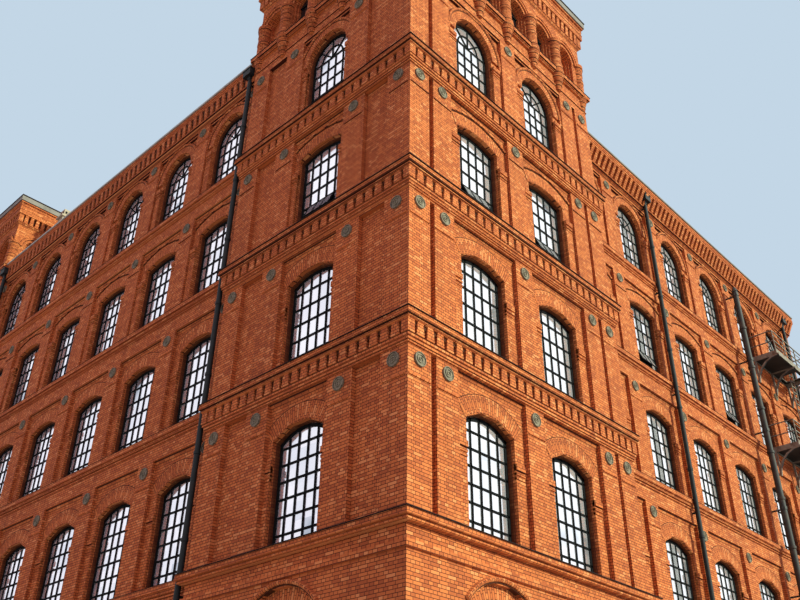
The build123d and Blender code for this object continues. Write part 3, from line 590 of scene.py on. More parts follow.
def windowBars(elevation, centre, storey):
    sill, spring, crown, panel = storeys[storey]
    half = plan["windowWidth"] / 2 - grid["headGap"]
    depth, bar, edge = grid["depth"], grid["bar"], grid["frame"]
    out = -plan["glassDepth"] + depth / 2
    roundHead = storey == "fifth"
    places = []  # offset from the centre, height, size and tilt of each bar
    for side in (-1, 1):
        places.append((side * (half - edge / 2), (sill + spring) / 2, (edge, depth, spring - sill), 0.0))
    places.append((0.0, sill + edge / 2, (2 * half, depth, edge), 0.0))
    rows = grid["rows"][storey]
    top = spring if roundHead else crown - grid["headGap"]
    for i in range(1, rows + 1 if roundHead else rows):
        places.append((0.0, sill + (top - sill) * i / rows, (2 * half, depth, bar), 0.0))
    for i in range(1, grid["columns"]):
        offset = -half + 2 * half * i / grid["columns"]
        head = spring if roundHead else archHeight(storey, offset) - grid["headGap"]
        places.append((offset, (sill + head) / 2, (bar, depth, head - sill), 0.0))
    if roundHead:
        for turn in grid["fanTurns"]:
            places.append((half / 2 * sin(turn), spring + half / 2 * cos(turn), (bar, depth, half), turn))
    return [wallBar(elevation, centre + offset, z, out, size, tilt=turn) for offset, z, size, turn in places]


def windowHeads(shape, elevation, centre, storey):
    # bent top bar of the frame, and in round heads the inner half ring
    sill, spring, crown, panel = storeys[storey]
    radius, height, halfAngle = arcOf(plan["windowWidth"], spring, crown)
    back, front = -plan["glassDepth"], -plan["glassDepth"] + grid["depth"]
    rings = [(radius - grid["headGap"], grid["frame"])]
    if storey == "fifth":
        rings.append((grid["fanRadius"], grid["bar"]))
    for outer, width in rings:
        addRing(shape, elevation, centre, height, outer, outer - width, back, front, grid["archSteps"][storey],
                halfAngle)


def openVent(bars, panes, voids, elevation, centre):
    # tilting row of panes, open at its foot
    sill, spring, crown, panel = storeys[vent["storey"]]
    half = plan["windowWidth"] / 2 - grid["headGap"]
    row = (crown - grid["headGap"] - sill) / grid["rows"][vent["storey"]]
    column = 2 * half / grid["columns"]
    first, last = vent["columns"]
    left, right = centre - half + first * column, centre - half + last * column
    bottom, top = sill + (vent["row"] - 1) * row, sill + vent["row"] * row
    face = -plan["glassDepth"]
    addBlock(voids, elevation, left, right, bottom, top, face, face + vent["sheet"])
    pivot, lean, out, bar = (bottom + top) / 2, vent["lean"], face + vent["standoff"], vent["bar"]
    for level in (-row / 2, row / 2):
        bars.append(wallBar(elevation, (left + right) / 2, pivot + level * cos(lean), out - level * sin(lean),
                            (right - left, bar, bar), lean=-lean))
    for i in range(last - first + 1):
        bars.append(wallBar(elevation, left + i * column, pivot, out, (bar, bar, row), lean=-lean))
    panes.append(wallBar(elevation, (left + right) / 2, pivot, out, (right - left, vent["sheet"], row), lean=-lean))


for elevation, centres in bayCentres.items():
    bars = [bar for centre in centres for storey in storeys for bar in windowBars(elevation, centre, storey)]
    (heads, voids), panes = newShapes(2), []
    for centre in centres:
        for storey in storeys:
            windowHeads(heads, elevation, centre, storey)
    for bay in vent["walls"].get(elevation, ()):
        openVent(bars, panes, voids, elevation, centres[bay])
    makeBars(onElevation(elevation, "iron_bars"), bars, windowIron)
    makePiece(onElevation(elevation, "iron_heads"), heads, windowIron)
    if panes:
        makeBars(onElevation(elevation, "vent_panes"), panes, glass)
        makePiece(onElevation(elevation, "vent_voids"), voids, darkVoid)
print("window iron made")

# profiles are (radius, out) points, and bands are bottom, top and reach from the springing
surround = {
    "proud": 0.012, "step": 0.045, "orderDepth": 0.12, "roll": 0.03,
    "rollCut": 0.3, "jambWidth": 0.34, "jambGap": 0.02, "jambProud": 0.06, "jambBack": 0.02, "bandBack": 0.06,
    "imposts": {"second": 9.6, "third": 14.2, "fourth": 18.9, "fifth": 23.2},
    "impostBands": [(-0.3, -0.25, 0.02), (-0.2, -0.13, 0.03), (-0.08, 0.08, 0.045)],
    "impostExtra": {"second": 0.0, "third": 0.0, "fourth": 0.055, "fifth": 0.055},
    "rings": {"ground": 0.46, "second": 0.45, "third": 0.45, "fourth": 0.4, "fifth": 0.3}, "ringSteps": 10,
    "headerLap": 0.03, "header": (0.02, 0.014),
    "headWedge": (0.14, -0.06), "headLine": (0.03, -0.08, -0.055), "roundHead": (0.08, -0.05),
}
groundHood = {
    "arc": (2.4, 6.09, 6.64), "lap": 0.02, "steps": 16, "shadow": (-0.035, -0.01, 0.02),
    "drip": [(-0.01, 0.0), (0.0, 0.06), (0.04, 0.085), (0.08, 0.07), (0.1, 0.0)],
}
fourthHood = {
    "rise": 0.5, "steps": 14, "shadow": (-0.05, -0.02, 0.02),
    "drip": [(-0.02, 0.0), (-0.02, 0.05), (0.03, 0.06), (0.03, 0.0)],
}
roundHood = {
    "steps": 24, "roll": [(0.0, 0.0), (0.0, 0.08), (0.03, 0.11), (0.07, 0.11), (0.09, 0.06), (0.09, 0.0)],
    "innerLine": (-0.025, 0.0, 0.072), "outerLine": (0.09, 0.115, 0.02), "leg": (0.09, 0.1),
}


def jambStrips(plain, elevation, centre, storey, face):
    # strips beside the opening and the stepped courses that close them at the springing
    half, impost = plan["windowWidth"] / 2, surround["imposts"][storey]
    jamb = min(surround["jambWidth"], bayWidths[elevation] / 2 - half - surround["jambGap"])
    for left, right in ((-half - jamb, -half), (half, half + jamb)):
        left, right = centre + left, centre + right
        for bottom, top, proud in surround["impostBands"]:
            addBlock(plain, elevation, left, right, impost + bottom, impost + top, face - surround["bandBack"],
                     face + proud + surround["impostExtra"][storey])
        if surround["impostExtra"][storey]:
            addBlock(plain, elevation, left, right, storeys[storey][0], impost + surround["impostBands"][0][0],
                     face - surround["jambBack"], face + surround["jambProud"])


def panelHead(plain, lines, elevation, centre, storey, face):
    # underside of the sunk panel's head, and under the lower ones a line of painted shade
    reach, panel = bayWidths[elevation] / 2, storeys[storey][3]
    if storey == "fifth":
        drop, front = surround["roundHead"]
        addBlock(plain, elevation, centre - reach, centre + reach, panel - drop, panel, face, front)
        return
    drop, front = surround["headWedge"]
    wedge = [(face, panel - drop), (front, panel), (face, panel)]
    sweep(plain, [[onWall(elevation, centre + side * reach, z, out) for out, z in wedge] for side in (-1, 1)])
    drop, back, front = surround["headLine"]
    addBlock(lines, elevation, centre - reach, centre + reach, panel - drop, panel, back, front)


def windowSurround(plain, ringed, lines, orders, elevation, centre, storey):
    sill, spring, crown, panel = storeys[storey]
    arc = arcOf(plan["windowWidth"], spring, crown)
    radius, height, halfAngle = arc
    face = -plan["panelDepth"]
    step, roll, cut = surround["step"], surround["roll"], surround["roll"] * surround["rollCut"]
    back, front = -plan["glassDepth"], -plan["glassDepth"] + surround["orderDepth"]
    # inner order of the reveal: a square step with a roll on its edge
    edge = [(0.0, back), (-step, back), (-step, front - roll), (-step + cut, front - cut), (-step + roll, front),
            (0.0, front)]
    addReveal(orders, elevation, centre, plan["windowWidth"] / 2, sill, arc, edge, grid["archSteps"][storey])
    # ring of brick on edge round the head
    rim = radius + surround["rings"][storey]
    lap = surround["headerLap"] if storey in ("second", "third", "fourth") else 0.0
    if storey != "ground":
        panelHead(plain, lines, elevation, centre, storey, face)
        jambStrips(plain, elevation, centre, storey, face)
    if storey == "fifth":
        addRing(ringed, elevation, centre, spring, radius, rim, face, face + surround["jambProud"])
    else:
        addRing(ringed, elevation, centre, height, radius, rim, face, face + surround["proud"], surround["ringSteps"],
                halfAngle + lap)

    if storey == "ground":
        hoodRadius, hoodHeight, hoodAngle = arcOf(*groundHood["arc"])
        addArchBand(ringed, elevation, centre, hoodHeight, moved(groundHood["drip"], hoodRadius, 0.0),
                    hoodAngle + groundHood["lap"], groundHood["steps"])
        inner, outer, front = groundHood["shadow"]
        addRing(lines, elevation, centre, hoodHeight, hoodRadius + inner, hoodRadius + outer, face, front,
                groundHood["steps"], hoodAngle)
    elif storey == "fourth":
        # thin drip from impost to impost
        hood, reach = radius + fourthHood["rise"], bayWidths[elevation] / 2
        spread = atan2(reach, (hood * hood - reach * reach) ** 0.5)
        addArchBand(plain, elevation, centre, height, moved(fourthHood["drip"], hood, face), spread,
                    fourthHood["steps"])
        inner, outer, front = fourthHood["shadow"]
        addRing(lines, elevation, centre, height, hood + inner, hood + outer, face, face + front, fourthHood["steps"],
                spread)
    elif storey == "fifth":
        # rolled hood on two short legs
        addArchBand(plain, elevation, centre, spring, moved(roundHood["roll"], rim, face), pi / 2, roundHood["steps"])
        # thin rings of painted shade inside and outside the roll
        for inner, outer, front in (roundHood["innerLine"], roundHood["outerLine"]):
            addRing(lines, elevation, centre, spring, rim + inner, rim + outer, face, face + front, roundHood["steps"])
        width, proud = roundHood["leg"]
        foot = surround["imposts"][storey] + surround["impostBands"][-1][1]
        for side in (-1, 1):
            left = centre + side * (rim + width / 2) - width / 2
            addBlock(plain, elevation, left, left + width, foot, spring, face, face + proud)
    else:
        # thin header course over the soldiers, drawn as a dark line of painted shade
        width, proud = surround["header"]
        addRing(lines, elevation, centre, height, rim, rim + width, face, face + proud, surround["ringSteps"],
                halfAngle + lap)


for elevation, centres in bayCentres.items():
    plain, ringed, lines, orders = newShapes(4)
    for centre in centres:
        for storey in storeys:
            windowSurround(plain, ringed, lines, orders, elevation, centre, storey)
    makePiece(onElevation(elevation, "reveal_orders"), orders, revealShadeBrick)
    # lines of painted shade under the panel heads and along the hoods and headers
    makePiece(onElevation(elevation, "painted_shade_lines"), lines, paintedShadeBrick)
    makePiece(onElevation(elevation, "window_mouldings"), plain, wallBrick)
    makePiece(onElevation(elevation, "arch_rings"), ringed, archBrick)
print("window surrounds made")

# heights are from the top of each string course, bands are bottom, top and reach
strings = {
    "tops": [7.5, 12.17, 16.67, 21.13], "dentilled": [12.17, 16.67, 21.13], "toothDrop": 0.24, "runMargin": 0.3,
    "teeth": {"Pitch": 0.34, "Width": 0.2, "Depth": 0.12, "Height": 0.34, "Taper": 1.3},
    "rolls": [[(0.2, -0.15), (0.215, -0.135), (0.215, -0.1), (0.2, -0.085)],
              [(0.13, -0.235), (0.16, -0.22), (0.16, -0.185), (0.13, -0.165)]],
    "flashing": [(0.0, 0.0), (0.235, -0.004), (0.235, 0.012), (0.0, 0.03)],
    "steps": [(-0.66, -0.6, 0.095), (-0.8, -0.76, 0.04)],
    "sootAndPaintedShade": [(-0.58, -0.24, 0.012), (-0.34, -0.24, 0.075), (-0.165, -0.15, 0.195), (-0.6, -0.585, 0.09)],
}
# round the street sides of the corner tower, and all the way round it, outside to the right
streetPath = [(west + plan["endSetback"], towerNorth), (west, towerNorth), (west, south), (towerEast, south),
              (towerEast, south + plan["sideSetback"])]
roundPath = [(west, towerNorth), (west, south), (towerEast, south), (towerEast, towerNorth)]
shortestRun = 3.0
cornerTooth = 0.1


def toothRuns(path, level, reach, margin, closed=False):
    # guide lines for teeth, one along each long side of a plan path
    runs = []
    for a, b in zip(path, path[1:] + path[:1] if closed else path[1:]):
        side = Vector(b) - Vector(a)
        along = side.normalized()
        if side.length > shortestRun:
            out = Vector((along.y, -along.x)) * reach
            start, end = Vector(a) + along * margin + out, Vector(b) - along * margin + out
            runs.append((Vector((start.x, start.y, level)), Vector((end.x, end.y, level))))
    return runs


def cornerTeeth(shape, corners, bottom, top, reach):
    # tooth that wraps each outer corner of the tower
    for corner in corners:
        inward = Vector((1 if corner[0] == west else -1, 1 if corner[1] == south else -1)) * cornerTooth
        ends = [(corner[0] + inward.x, corner[1]), (corner[0], corner[1] + inward.y)]
        first, last = ends[::-1] if inward.x * inward.y > 0 else ends
        addBands(shape, [first, corner, last], [(bottom, top, reach)])


(trim, recess, flashing), runs = newShapes(3), []
for top in strings["tops"]:
    # two rolled edges under the ledge, and its thin dark flashing
    for profile in strings["rolls"]:
        addCourse(trim, streetPath, moved(profile, 0.0, top))
    addCourse(flashing, streetPath, moved(strings["flashing"], 0.0, top))
    if top in strings["dentilled"]:
        # fine stepped courses between the teeth and the panel heads
        addBands(trim, streetPath, strings["steps"], top)
        # dark bands of painted shade behind and above the teeth and under the rolls and steps
        addBands(recess, streetPath, strings["sootAndPaintedShade"], top)
        head, foot = top - strings["toothDrop"], top - strings["toothDrop"] - strings["teeth"]["Height"]
        depth = strings["teeth"]["Depth"]
        runs += toothRuns(streetPath, (head + foot) / 2, depth / 2, strings["runMargin"])
        cornerTeeth(trim, streetPath[1:4], foot, head, depth)
makePiece(onTowers("tower_course_mouldings"), trim, wallBrick)
makePiece(onTowers("tower_ledge_flashing"), flashing, leadFlashing)
makePiece(onTowers("tower_dentil_recess"), recess, paintedShadeBrick)
makeTeeth(onTowers("tower_dentils"), runs, strings["teeth"], wallBrick)

eaves = {
    "foot": 24.99, "head": 25.52, "bed": 0.11, "depth": 0.07, "runMargin": 0.15,
    "reaches": {"endWall": 0.2, "frontWall": 0.45},
    "teeth": {"endWall": (0.35, 0.17, 0.03), "frontWall": (0.315, 0.165, 0.27)},  # pitch, width, lean
    "gutters": {"endWall": gutterEdge, "frontWall": gutterSheet}, "fillets": [(25.6, 25.635), (25.7, 25.735)],
    "filletReach": 0.02, "sootAndPaintedShade": [(0.53, 0.012), (0.24, 0.04), (0.12, 0.06)],  # drop from the head, reach past the bed
    "foots": [(0.0, 24.84), (0.115, 24.95), (0.165, 24.95), (0.165, 25.0), (0.0, 25.0)],
    "ledgeStep": (-0.33, -0.29, 0.04), "ledgeFlashing": (0.0, 0.014, 0.13),
    "gutter": [(0.0, 0.0), (0.04, 0.0), (0.05, 0.06), (0.0, 0.06)],
}
for elevation, reach in eaves["reaches"].items():
    length = elevations[elevation][3]
    wallPath = [tuple(onWall(elevation, u, 0, 0).xy) for u in (0, length)]
    trim, recess, metal, gutter = newShapes(4)
    addBands(trim, wallPath, [(bottom, top, reach + eaves["filletReach"]) for bottom, top in eaves["fillets"]])
    addCourse(trim, wallPath, eaves["foots"])
    for top in strings["tops"]:
        addBands(trim, wallPath, [eaves["ledgeStep"]], top)
        addBands(metal, wallPath, [eaves["ledgeFlashing"]], top)
    # painted shade: dark bands in the slots between the eaves teeth, deepest in their upper part
    for drop, out in eaves["sootAndPaintedShade"]:
        addBands(recess, wallPath, [(eaves["head"] - drop, eaves["head"], eaves["bed"] + out)])
    addCourse(gutter, wallPath, moved(eaves["gutter"], reach, plan["eavesTop"]))
    makePiece(onElevation(elevation, "course_mouldings"), trim, wallBrick)
    makePiece(onElevation(elevation, "dentil_recess"), recess, paintedShadeBrick)
    makePiece(onElevation(elevation, "ledge_flashing"), metal, leadFlashing)
    makePiece(onElevation(elevation, "eaves_gutter"), gutter, eaves["gutters"][elevation])
    middle, out = (eaves["head"] + eaves["foot"]) / 2, eaves["bed"] + eaves["depth"] / 2
    pitch, width, lean = eaves["teeth"][elevation]
    run = [onWall(elevation, u, middle, out) for u in (eaves["runMargin"], length - eaves["runMargin"])]
    makeTeeth(onElevation(elevation, "eaves_dentils"), [run],
              {"Pitch": pitch, "Width": width, "Depth": eaves["depth"], "Height": eaves["head"] - eaves["foot"],
               "Taper": 1.0, "Lean": lean}, wallBrick)
print("courses and dentils made")

belvedere = {
    "pitch": 1.5, "opening": 0.95, "sill": 25.9, "roofSideSill": 26.45, "spring": 27.3, "recess": 0.3,
    "orders": [(0.05, 0.2), (0.1, 0.1)], "orderSteps": 10,  # inset and depth
    "ledge": (0.12, 0.08, 0.06),  # reach past the opening, height, how proud
    # inner and outer radius past the opening, how proud and in how many steps
    "rings": [(0.0, 0.12, 0.02, 14), (0.14, 0.24, 0.07, 16)],
    "lines": [(0.12, 0.14, 0.026, 16), (0.265, 0.29, 0.012, 16)], "edges": [(0.24, 0.265, 0.095, 16)],
    "barOut": 0.02, "upright": (0.05, 0.04), "cross": (0.04, 0.04), "crossBars": 3,
}


def arcadeCentres(length):
    count = int(length // belvedere["pitch"])
    return [length / 2 + (i - (count - 1) / 2) * belvedere["pitch"] for i in range(count)]


def arcadeArch(plain, ringed, lines, bars, elevation, centre, sill, glazed):
    # stepped orders in the reveal, a ring of brick round the arch, and a moulded hood of headers
    half, spring, back = belvedere["opening"] / 2, belvedere["spring"], -belvedere["recess"]
    for inset, depth in belvedere["orders"]:
        order = [(0.0, back), (-inset, back), (-inset, back + depth), (0.0, back + depth)]
        addReveal(ringed, elevation, centre, half, sill, (half, spring, pi / 2), order, belvedere["orderSteps"])
    for shape, rings in ((ringed, belvedere["rings"]), (lines, belvedere["lines"]), (plain, belvedere["edges"])):
        for inner, outer, proud, steps in rings:
            addRing(shape, elevation, centre, spring, half + inner, half + outer, 0.0, proud, steps)
    if glazed:
        out, height = back + belvedere["barOut"], spring + half - sill
        bars.append(wallBar(elevation, centre, sill + height / 2, out, (*belvedere["upright"], height)))
        for part in range(1, belvedere["crossBars"] + 1):
            level = sill + (spring - sill) * part / belvedere["crossBars"]
            bars.append(wallBar(elevation, centre, level, out, (2 * half, *belvedere["cross"])))


for elevation in ("towerEnd", "towerSide", "towerReturn", "towerInner"):
    overStreet = elevation in bayCentres
    sill = belvedere["sill" if overStreet else "roofSideSill"]
    (plain, ringed, lines), bars = newShapes(3), []
    centres = arcadeCentres(elevations[elevation][3])
    for centre in centres:
        glazed = overStreet and centre not in (centres[0], centres[-1])
        arcadeArch(plain, ringed, lines, bars, elevation, centre, sill, glazed)
        if not overStreet:
            beyond, height, proud = belvedere["ledge"]
            half = belvedere["opening"] / 2 + beyond
            addBlock(plain, elevation, centre - half, centre + half, sill - height, sill, 0.0, proud)
    # thin rings of painted shade between the arch rings and outside them
    makePiece(onElevation(elevation, "arcade_lines"), lines, paintedShadeBrick)
    makePiece(onElevation(elevation, "arcade_orders"), plain, wallBrick)
    makePiece(onElevation(elevation, "arcade_rings"), ringed, archBrick)
    if bars:
        makeBars(onElevation(elevation, "arcade_bars"), bars, windowIron)

# turned brick columns between the arches: (radius, height) of the corbel, base, banded shaft and capital
column = {
    "sides": 20, "cornerInset": 0.12, "groove": 0.022, "core": 0.05,
    "profile": [
        (0.06, 24.92), (0.11, 24.95), (0.14, 25.05), (0.14, 25.12), (0.18, 25.18), (0.18, 25.28), (0.21, 25.34),
        (0.21, 25.46), (0.25, 25.54), (0.265, 25.66), (0.285, 25.72), (0.29, 25.82), (0.28, 25.92), (0.255, 25.96),
        (0.235, 26.02), (0.235, 26.5), (0.25, 26.54), (0.25, 26.62), (0.235, 26.66), (0.235, 26.92), (0.25, 26.96),
        (0.25, 27.04), (0.235, 27.08), (0.235, 27.14), (0.26, 27.18), (0.26, 27.26), (0.285, 27.32), (0.29, 27.46),
        (0.2, 27.48),
    ],
    "grooves": [(0.165, 25.13), (0.2, 25.29), (0.24, 25.5), (0.28, 25.68), (0.285, 25.93), (0.246, 26.51),
                (0.246, 26.64), (0.246, 26.93), (0.246, 27.06), (0.28, 27.28)],
}
inset = column["cornerInset"]
places = [onWall(elevation, u + belvedere["pitch"] / 2, 0, 0).xy for elevation in ("towerEnd", "towerSide")
          for u in arcadeCentres(elevations[elevation][3])[:-1]]
places += [(west + inset, south + inset), (west + inset, towerNorth - inset), (towerEast - inset, south + inset)]
columns, grooves = newShapes(2)
for place in places:
    addTurned(columns, place, column["profile"], column["sides"])
    for radius, level in column["grooves"]:
        addTube(grooves, place, column["core"], radius, level, level + column["groove"], column["sides"])
makePiece(onTowers("belvedere_columns"), columns, wallBrick, smooth=True)
# painted shade in the grooves between the column's bands
makePiece(onTowers("belvedere_grooves"), grooves, paintedShadeBrick, smooth=True)

cornice = {
    "parapet": [(25.1, 25.14, 0.03), (25.64, 25.7, 0.08), (25.7, 25.74, 0.12)],
    "fillets": [(29.28, 29.315, 0.205), (29.5, 29.535, 0.205), (29.66, 29.74, 0.25)],
    "foot": [(0.0, 28.44), (0.11, 28.57), (0.11, 28.6), (0.0, 28.6)],
    "sillFlashing": [(0.0, 25.9), (0.19, 25.9), (0.19, 25.914), (0.0, 25.95)],
    "gutterLip": [(0.3, 30.01), (0.325, 30.01), (0.325, 30.06), (0.3, 30.06)],
    "toothFoot": 28.58, "toothHead": 29.05, "sootAndPaintedShade": (28.75, 29.05, 0.012), "runMargin": 0.26,
    "teeth": {"Pitch": 0.285, "Width": 0.15, "Depth": 0.13, "Height": 0.47, "Taper": 1.3, "Lean": 0.03},
}
# fine courses on the parapet between the corbels, then the moulded cornice
trim, recess, metal = newShapes(3)
addBands(trim, streetPath, cornice["parapet"])
addBands(trim, roundPath, cornice["fillets"], closed=True)
addCourse(trim, roundPath, cornice["foot"], closed=True)
addCourse(metal, streetPath, cornice["sillFlashing"])
addCourse(metal, roundPath, cornice["gutterLip"], closed=True)
# painted shade in the upper part of the slots between the cornice teeth
addBands(recess, roundPath, [cornice["sootAndPaintedShade"]], closed=True)
cornerTeeth(trim, roundPath, cornice["toothFoot"], cornice["toothHead"], cornice["teeth"]["Depth"])
makePiece(onTowers("belvedere_mouldings"), trim, wallBrick)
makePiece(onTowers("belvedere_flashing"), metal, leadFlashing)
makePiece(onTowers("belvedere_recess"), recess, paintedShadeBrick)
runs = toothRuns(roundPath, (cornice["toothFoot"] + cornice["toothHead"]) / 2, cornice["teeth"]["Depth"] / 2,
                 cornice["runMargin"], closed=True)
makeTeeth(onTowers("belvedere_dentils"), runs, cornice["teeth"], wallBrick)
print("belvederes made")

# wall anchors at the floors, and the thin course under each
anchor = {
    "radius": 0.185, "sides": 20, "levels": [11.06, 15.55, 20.07, 24.54],
    "places": {
        "endWall": [i * plan["endBay"] for i in range(1, plan["bays"])] + [0.2, endLength - 0.2],
        "frontWall": [0.2] + [i * plan["sideBay"] for i in range(1, plan["bays"] + 1)],
        "towerEnd": [0.43, 2.23, 5.33, 7.13],
        "towerSide": [0.39, 1.35, 4.785, 8.22, 9.18],
    },
    # share of the radius and how proud
    "plate": [(0.97, 0.0), (0.97, 0.04), (0.85, 0.03), (0.02, 0.02)],
    "rim": [(0.86, 0.03), (0.88, 0.05), (0.98, 0.05), (1.0, 0.04), (1.0, 0.0)],
    "scrollSteps": 26, "scrollStart": 0.6, "scrollTurn": 3.3 * pi, "scrollReach": (0.66, 0.54),
    "scroll": [(-0.015, 0.02), (-0.01, 0.05), (0.01, 0.05), (0.015, 0.02)],
    "lineDrop": 0.48, "lineHalf": 0.36, "lineEnd": 0.01, "line": (0.035, 0.03),
}


def turnedOnWall(shape, elevation, u, z, profile):
    # round solid about an axis that points out of the wall
    radius, sides = anchor["radius"], anchor["sides"]
    turns = [2 * pi * k / sides for k in range(sides)]
    sweep(shape, [[onWall(elevation, u + r * radius * cos(turn), z + r * radius * sin(turn), out) for turn in turns]
                  for r, out in profile])


def addAnchor(plates, scrolls, elevation, u, z):
    # dished plate, and on it a raised rim and a scroll that winds in to the tie's end
    turnedOnWall(plates, elevation, u, z, anchor["plate"])
    turnedOnWall(scrolls, elevation, u, z, anchor["rim"])
    scroll, steps = [], anchor["scrollSteps"]
    start, loss = anchor["scrollReach"]
    for i in range(steps + 1):
        turn = anchor["scrollStart"] + anchor["scrollTurn"] * i / steps
        reach = anchor["radius"] * (start - loss * i / steps)
        scroll.append([onWall(elevation, u + r * cos(turn), z + r * sin(turn), out)
                       for r, out in moved(anchor["scroll"], reach, 0.0)])
    sweep(scrolls, scroll)


for elevation, places in anchor["places"].items():
    plates, scrolls, lines = newShapes(3)
    for u in places:
        left = max(u - anchor["lineHalf"], anchor["lineEnd"])
        right = min(u + anchor["lineHalf"], elevations[elevation][3] - anchor["lineEnd"])
        height, proud = anchor["line"]
        for z in anchor["levels"]:
            addAnchor(plates, scrolls, elevation, u, z)
            foot = z - anchor["lineDrop"]
            addBlock(lines, elevation, left, right, foot, foot + height, 0.0, proud)
    makePiece(onElevation(elevation, "anchor_plates"), plates, darkIron, smooth=True)
    makePiece(onElevation(elevation, "anchor_scrolls"), scrolls, castIron, smooth=True)
    makePiece(onElevation(elevation, "pier_courses"), lines, wallBrick)
print("anchor plates made")

pipe = {
    "places": {"endWall": [endLength - 0.29, 0.29], "frontWall": [6.25, 19.99]}, "standoff": 0.2,
    "skin": (0.05, 0.082, 0.02, 25.0, 14),  # inner and outer radius, bottom, top, sides
    "sleeve": (0.06, 0.1, 0.11, 12, 0.01),  # inner and outer radius, height, sides, bevel
    "sleeveLevels": [1.2 + 2.4 * k for k in range(10)],  # one on each length of pipe
    "hopper": (0.21, 25.2, 25.52, 0.11, 0.4),  # half width, bottom, top, back, front
    "lip": (0.02, 0.06, 0.005),  # reach past the box, drop and gap under its top
}
# round skins, sleeves at the joints of the downpipes, and boxes on their hopper heads
sleeves, hoppers = newShapes(2)
for elevation, places in pipe["places"].items():
    for u in places:
        foot = onWall(elevation, u, 0, pipe["standoff"]).xy
        addTube(sleeves, foot, *pipe["skin"])
        inner, outer, height, sides, bevel = pipe["sleeve"]
        for level in pipe["sleeveLevels"]:
            addTube(sleeves, foot, inner, outer, level, level + height, sides, bevel)
        half, bottom, top, back, front = pipe["hopper"]
        beyond, drop, gap = pipe["lip"]
        addBlock(hoppers, elevation, u - half, u + half, bottom, top, back, front)
        addBlock(hoppers, elevation, u - half - beyond, u + half + beyond, top - drop, top - gap, back, front + beyond)
makePiece(("downpipe_sleeves", None), sleeves, pipeSteel, smooth=True)

# the flue's skin and collars, in the same order
flue = {
    "place": 13.6, "standoff": 0.48, "skin": (0.08, 0.128, 0.02, 24.04, 18),
    "collarLevels": range(2, 23, 2), "collar": (0.1, 0.16, 0.14, 18, 0.02),
}
fluePipe = newShapes(1)[0]
foot = onWall("frontWall", flue["place"], 0, flue["standoff"]).xy
addTube(fluePipe, foot, *flue["skin"])
inner, outer, height, sides, bevel = flue["collar"]
for level in flue["collarLevels"]:
    addTube(fluePipe, foot, inner, outer, level, level + height, sides, bevel)
makePiece(("flue_skin", None), fluePipe, flueSteel, smooth=True)
makePiece(("downpipe_hoppers", None), hoppers, pipeSteel)

escape = {
    "left": 15.1, "length": 3.7, "depth": 1.2, "decks": [16.87, 21.33], "margin": 0.06,
    "slatPitch": 0.09, "slat": (0.03, 0.02), "slatRise": 0.01,
    "hatch": (17.8, 18.55, 0.225, 0.975),  # left, right, near and far edge in the upper deck
    "rails": [(0.06, 0.1), (0.8, 0.025), (0.27, 0.025)], "railDepth": 0.02,  # height and width of toe board and rails
}
bars = []
for top, hatch in zip(escape["decks"], (None, escape["hatch"])):
    # flat bars on the deck, laid from the wall outwards and cut short at the hatch
    near, far = escape["margin"], escape["depth"] - escape["margin"]
    width, thickness = escape["slat"]
    for i in range(1, int(escape["length"] / escape["slatPitch"])):
        u = escape["left"] + i * escape["slatPitch"]
        atHatch = hatch and hatch[0] < u < hatch[1]
        for start, end in ((near, hatch[2]), (hatch[3], far)) if atHatch else ((near, far),):
            bars.append(wallBar("frontWall", u, top + escape["slatRise"], (start + end) / 2,
                                (width, end - start, thickness)))
    for height, width in escape["rails"]:
        bars.append(wallBar("frontWall", escape["left"] + escape["length"] / 2, top + height,
                            escape["depth"] - escape["railDepth"], (escape["length"], escape["railDepth"], width)))
makeBars(("fire_escape_slats_and_rails", None), bars, escapeSteel)

# three tiers of (half width, bottom, top), the last with two vents on each side
chimney = {
    "place": (-13.434, 8.45), "head": [(0.25, 28.7, 29.0), (0.33, 29.0, 29.1), (0.21, 29.1, 29.5)],
    "vents": (-0.1, 0.1), "ventSize": (0.05, 0.216), "ventLevels": (29.24, 29.38),
}
x, y = chimney["place"]
head, vents = newShapes(2)
for half, bottom, top in chimney["head"]:
    addBox(head, (x, y), half, half, bottom, top)
width, reach = chimney["ventSize"]
for offset in chimney["vents"]:
    addBox(vents, (x + offset, y), width, reach, *chimney["ventLevels"])
    addBox(vents, (x, y + offset), reach, width, *chimney["ventLevels"])
makePiece(("chimney_head", None), head, limeRender)
makePiece(("chimney_vents", None), vents, darkVoid)
print("pipes, fire escape and chimney dressed")

# pale concrete floor, far wider than the block so that no edge shows
ground = {"half": 160.0, "colour": "a8a8a4", "roughness": 0.9}
floor = bpy.data.objects.new("paleFloor", bpy.data.meshes.new("paleFloor"))
half = ground["half"]
floor.data.from_pydata([(-half, -half, 0), (half, -half, 0), (half, half, 0), (-half, half, 0)], [], [(0, 1, 2, 3)])
bpy.context.scene.collection.objects.link(floor)
concrete, shader = newMaterial("paleStudioFloor")[::2]
feed(shader, {"Base Color": linear(ground["colour"]), "Roughness": ground["roughness"]})
floor.data.materials.append(concrete)

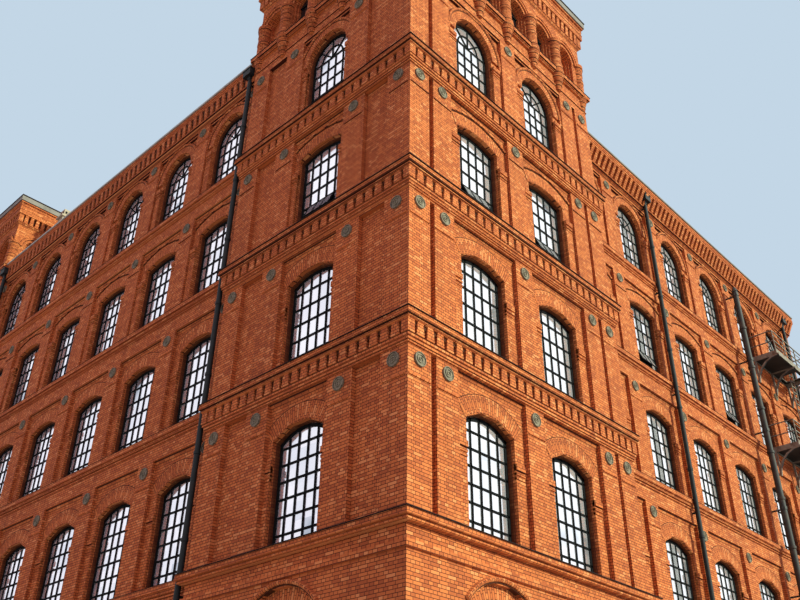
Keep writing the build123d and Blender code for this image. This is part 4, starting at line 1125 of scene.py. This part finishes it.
light = {
    "sunStrength": 4.5, "sunSpread": 4.0, "sunFrom": (0.3, -0.85, 0.42), "sunColour": (1.0, 1.16, 0.92),
    "sky": "eed1ec", "skyStrength": 0.81, "glow": "eceef6", "glowStrength": 1.3, "backdrop": "c3d6e6",
}
sunData = bpy.data.lights.new("softSun", "SUN")
sunData.energy = light["sunStrength"]
sunData.angle = radians(light["sunSpread"])
sunData.color = light["sunColour"]
sun = bpy.data.objects.new("softSun", sunData)
sun.rotation_euler = Vector(light["sunFrom"]).to_track_quat("Z", "Y").to_euler()
bpy.context.scene.collection.objects.link(sun)

# a pale sky: soft fill light, a brighter glow that the panes mirror, and a plain backdrop
world = bpy.data.worlds.new("paleSky")
bpy.context.scene.world = world
world.use_nodes = True
add, fill = partial(addNode, world.node_tree), world.node_tree.nodes["Background"]
feed(fill, {"Color": linear(light["sky"]), "Strength": light["skyStrength"]})
glow = add("ShaderNodeBackground", {"Color": linear(light["glow"]), "Strength": light["glowStrength"]})
backdrop = add("ShaderNodeBackground", {"Color": linear(light["backdrop"]), "Strength": 1.0})
path = add("ShaderNodeLightPath").outputs
around = add("ShaderNodeMixShader", {0: path["Is Glossy Ray"], 1: fill, 2: glow})
seen = add("ShaderNodeMixShader", {0: path["Is Camera Ray"], 1: around, 2: backdrop})
feed(world.node_tree.nodes["World Output"], {"Surface": seen})

# the photograph's viewpoint: standing height, looking up at the corner
view = {
    "place": (-27.7256, -29.1228, 1.6), "forward": (0.61103, 0.58584, 0.53239), "up": (-0.39379, -0.35848, 0.84643),
    "lens": 39.8, "sensor": 36.0, "reach": 500.0,
}
cameraData = bpy.data.cameras.new("streetView")
cameraData.lens = view["lens"]
cameraData.sensor_width = view["sensor"]
cameraData.clip_end = view["reach"]
camera = bpy.data.objects.new("streetView", cameraData)
ahead, upward = Vector(view["forward"]).normalized(), Vector(view["up"]).normalized()
turn = Matrix((ahead.cross(upward), upward, -ahead)).transposed().to_4x4()
camera.matrix_world = Matrix.Translation(view["place"]) @ turn
bpy.context.scene.collection.objects.link(camera)
bpy.context.scene.camera = camera
bpy.context.scene.view_settings.view_transform = "Standard"
print("camera and lights placed")
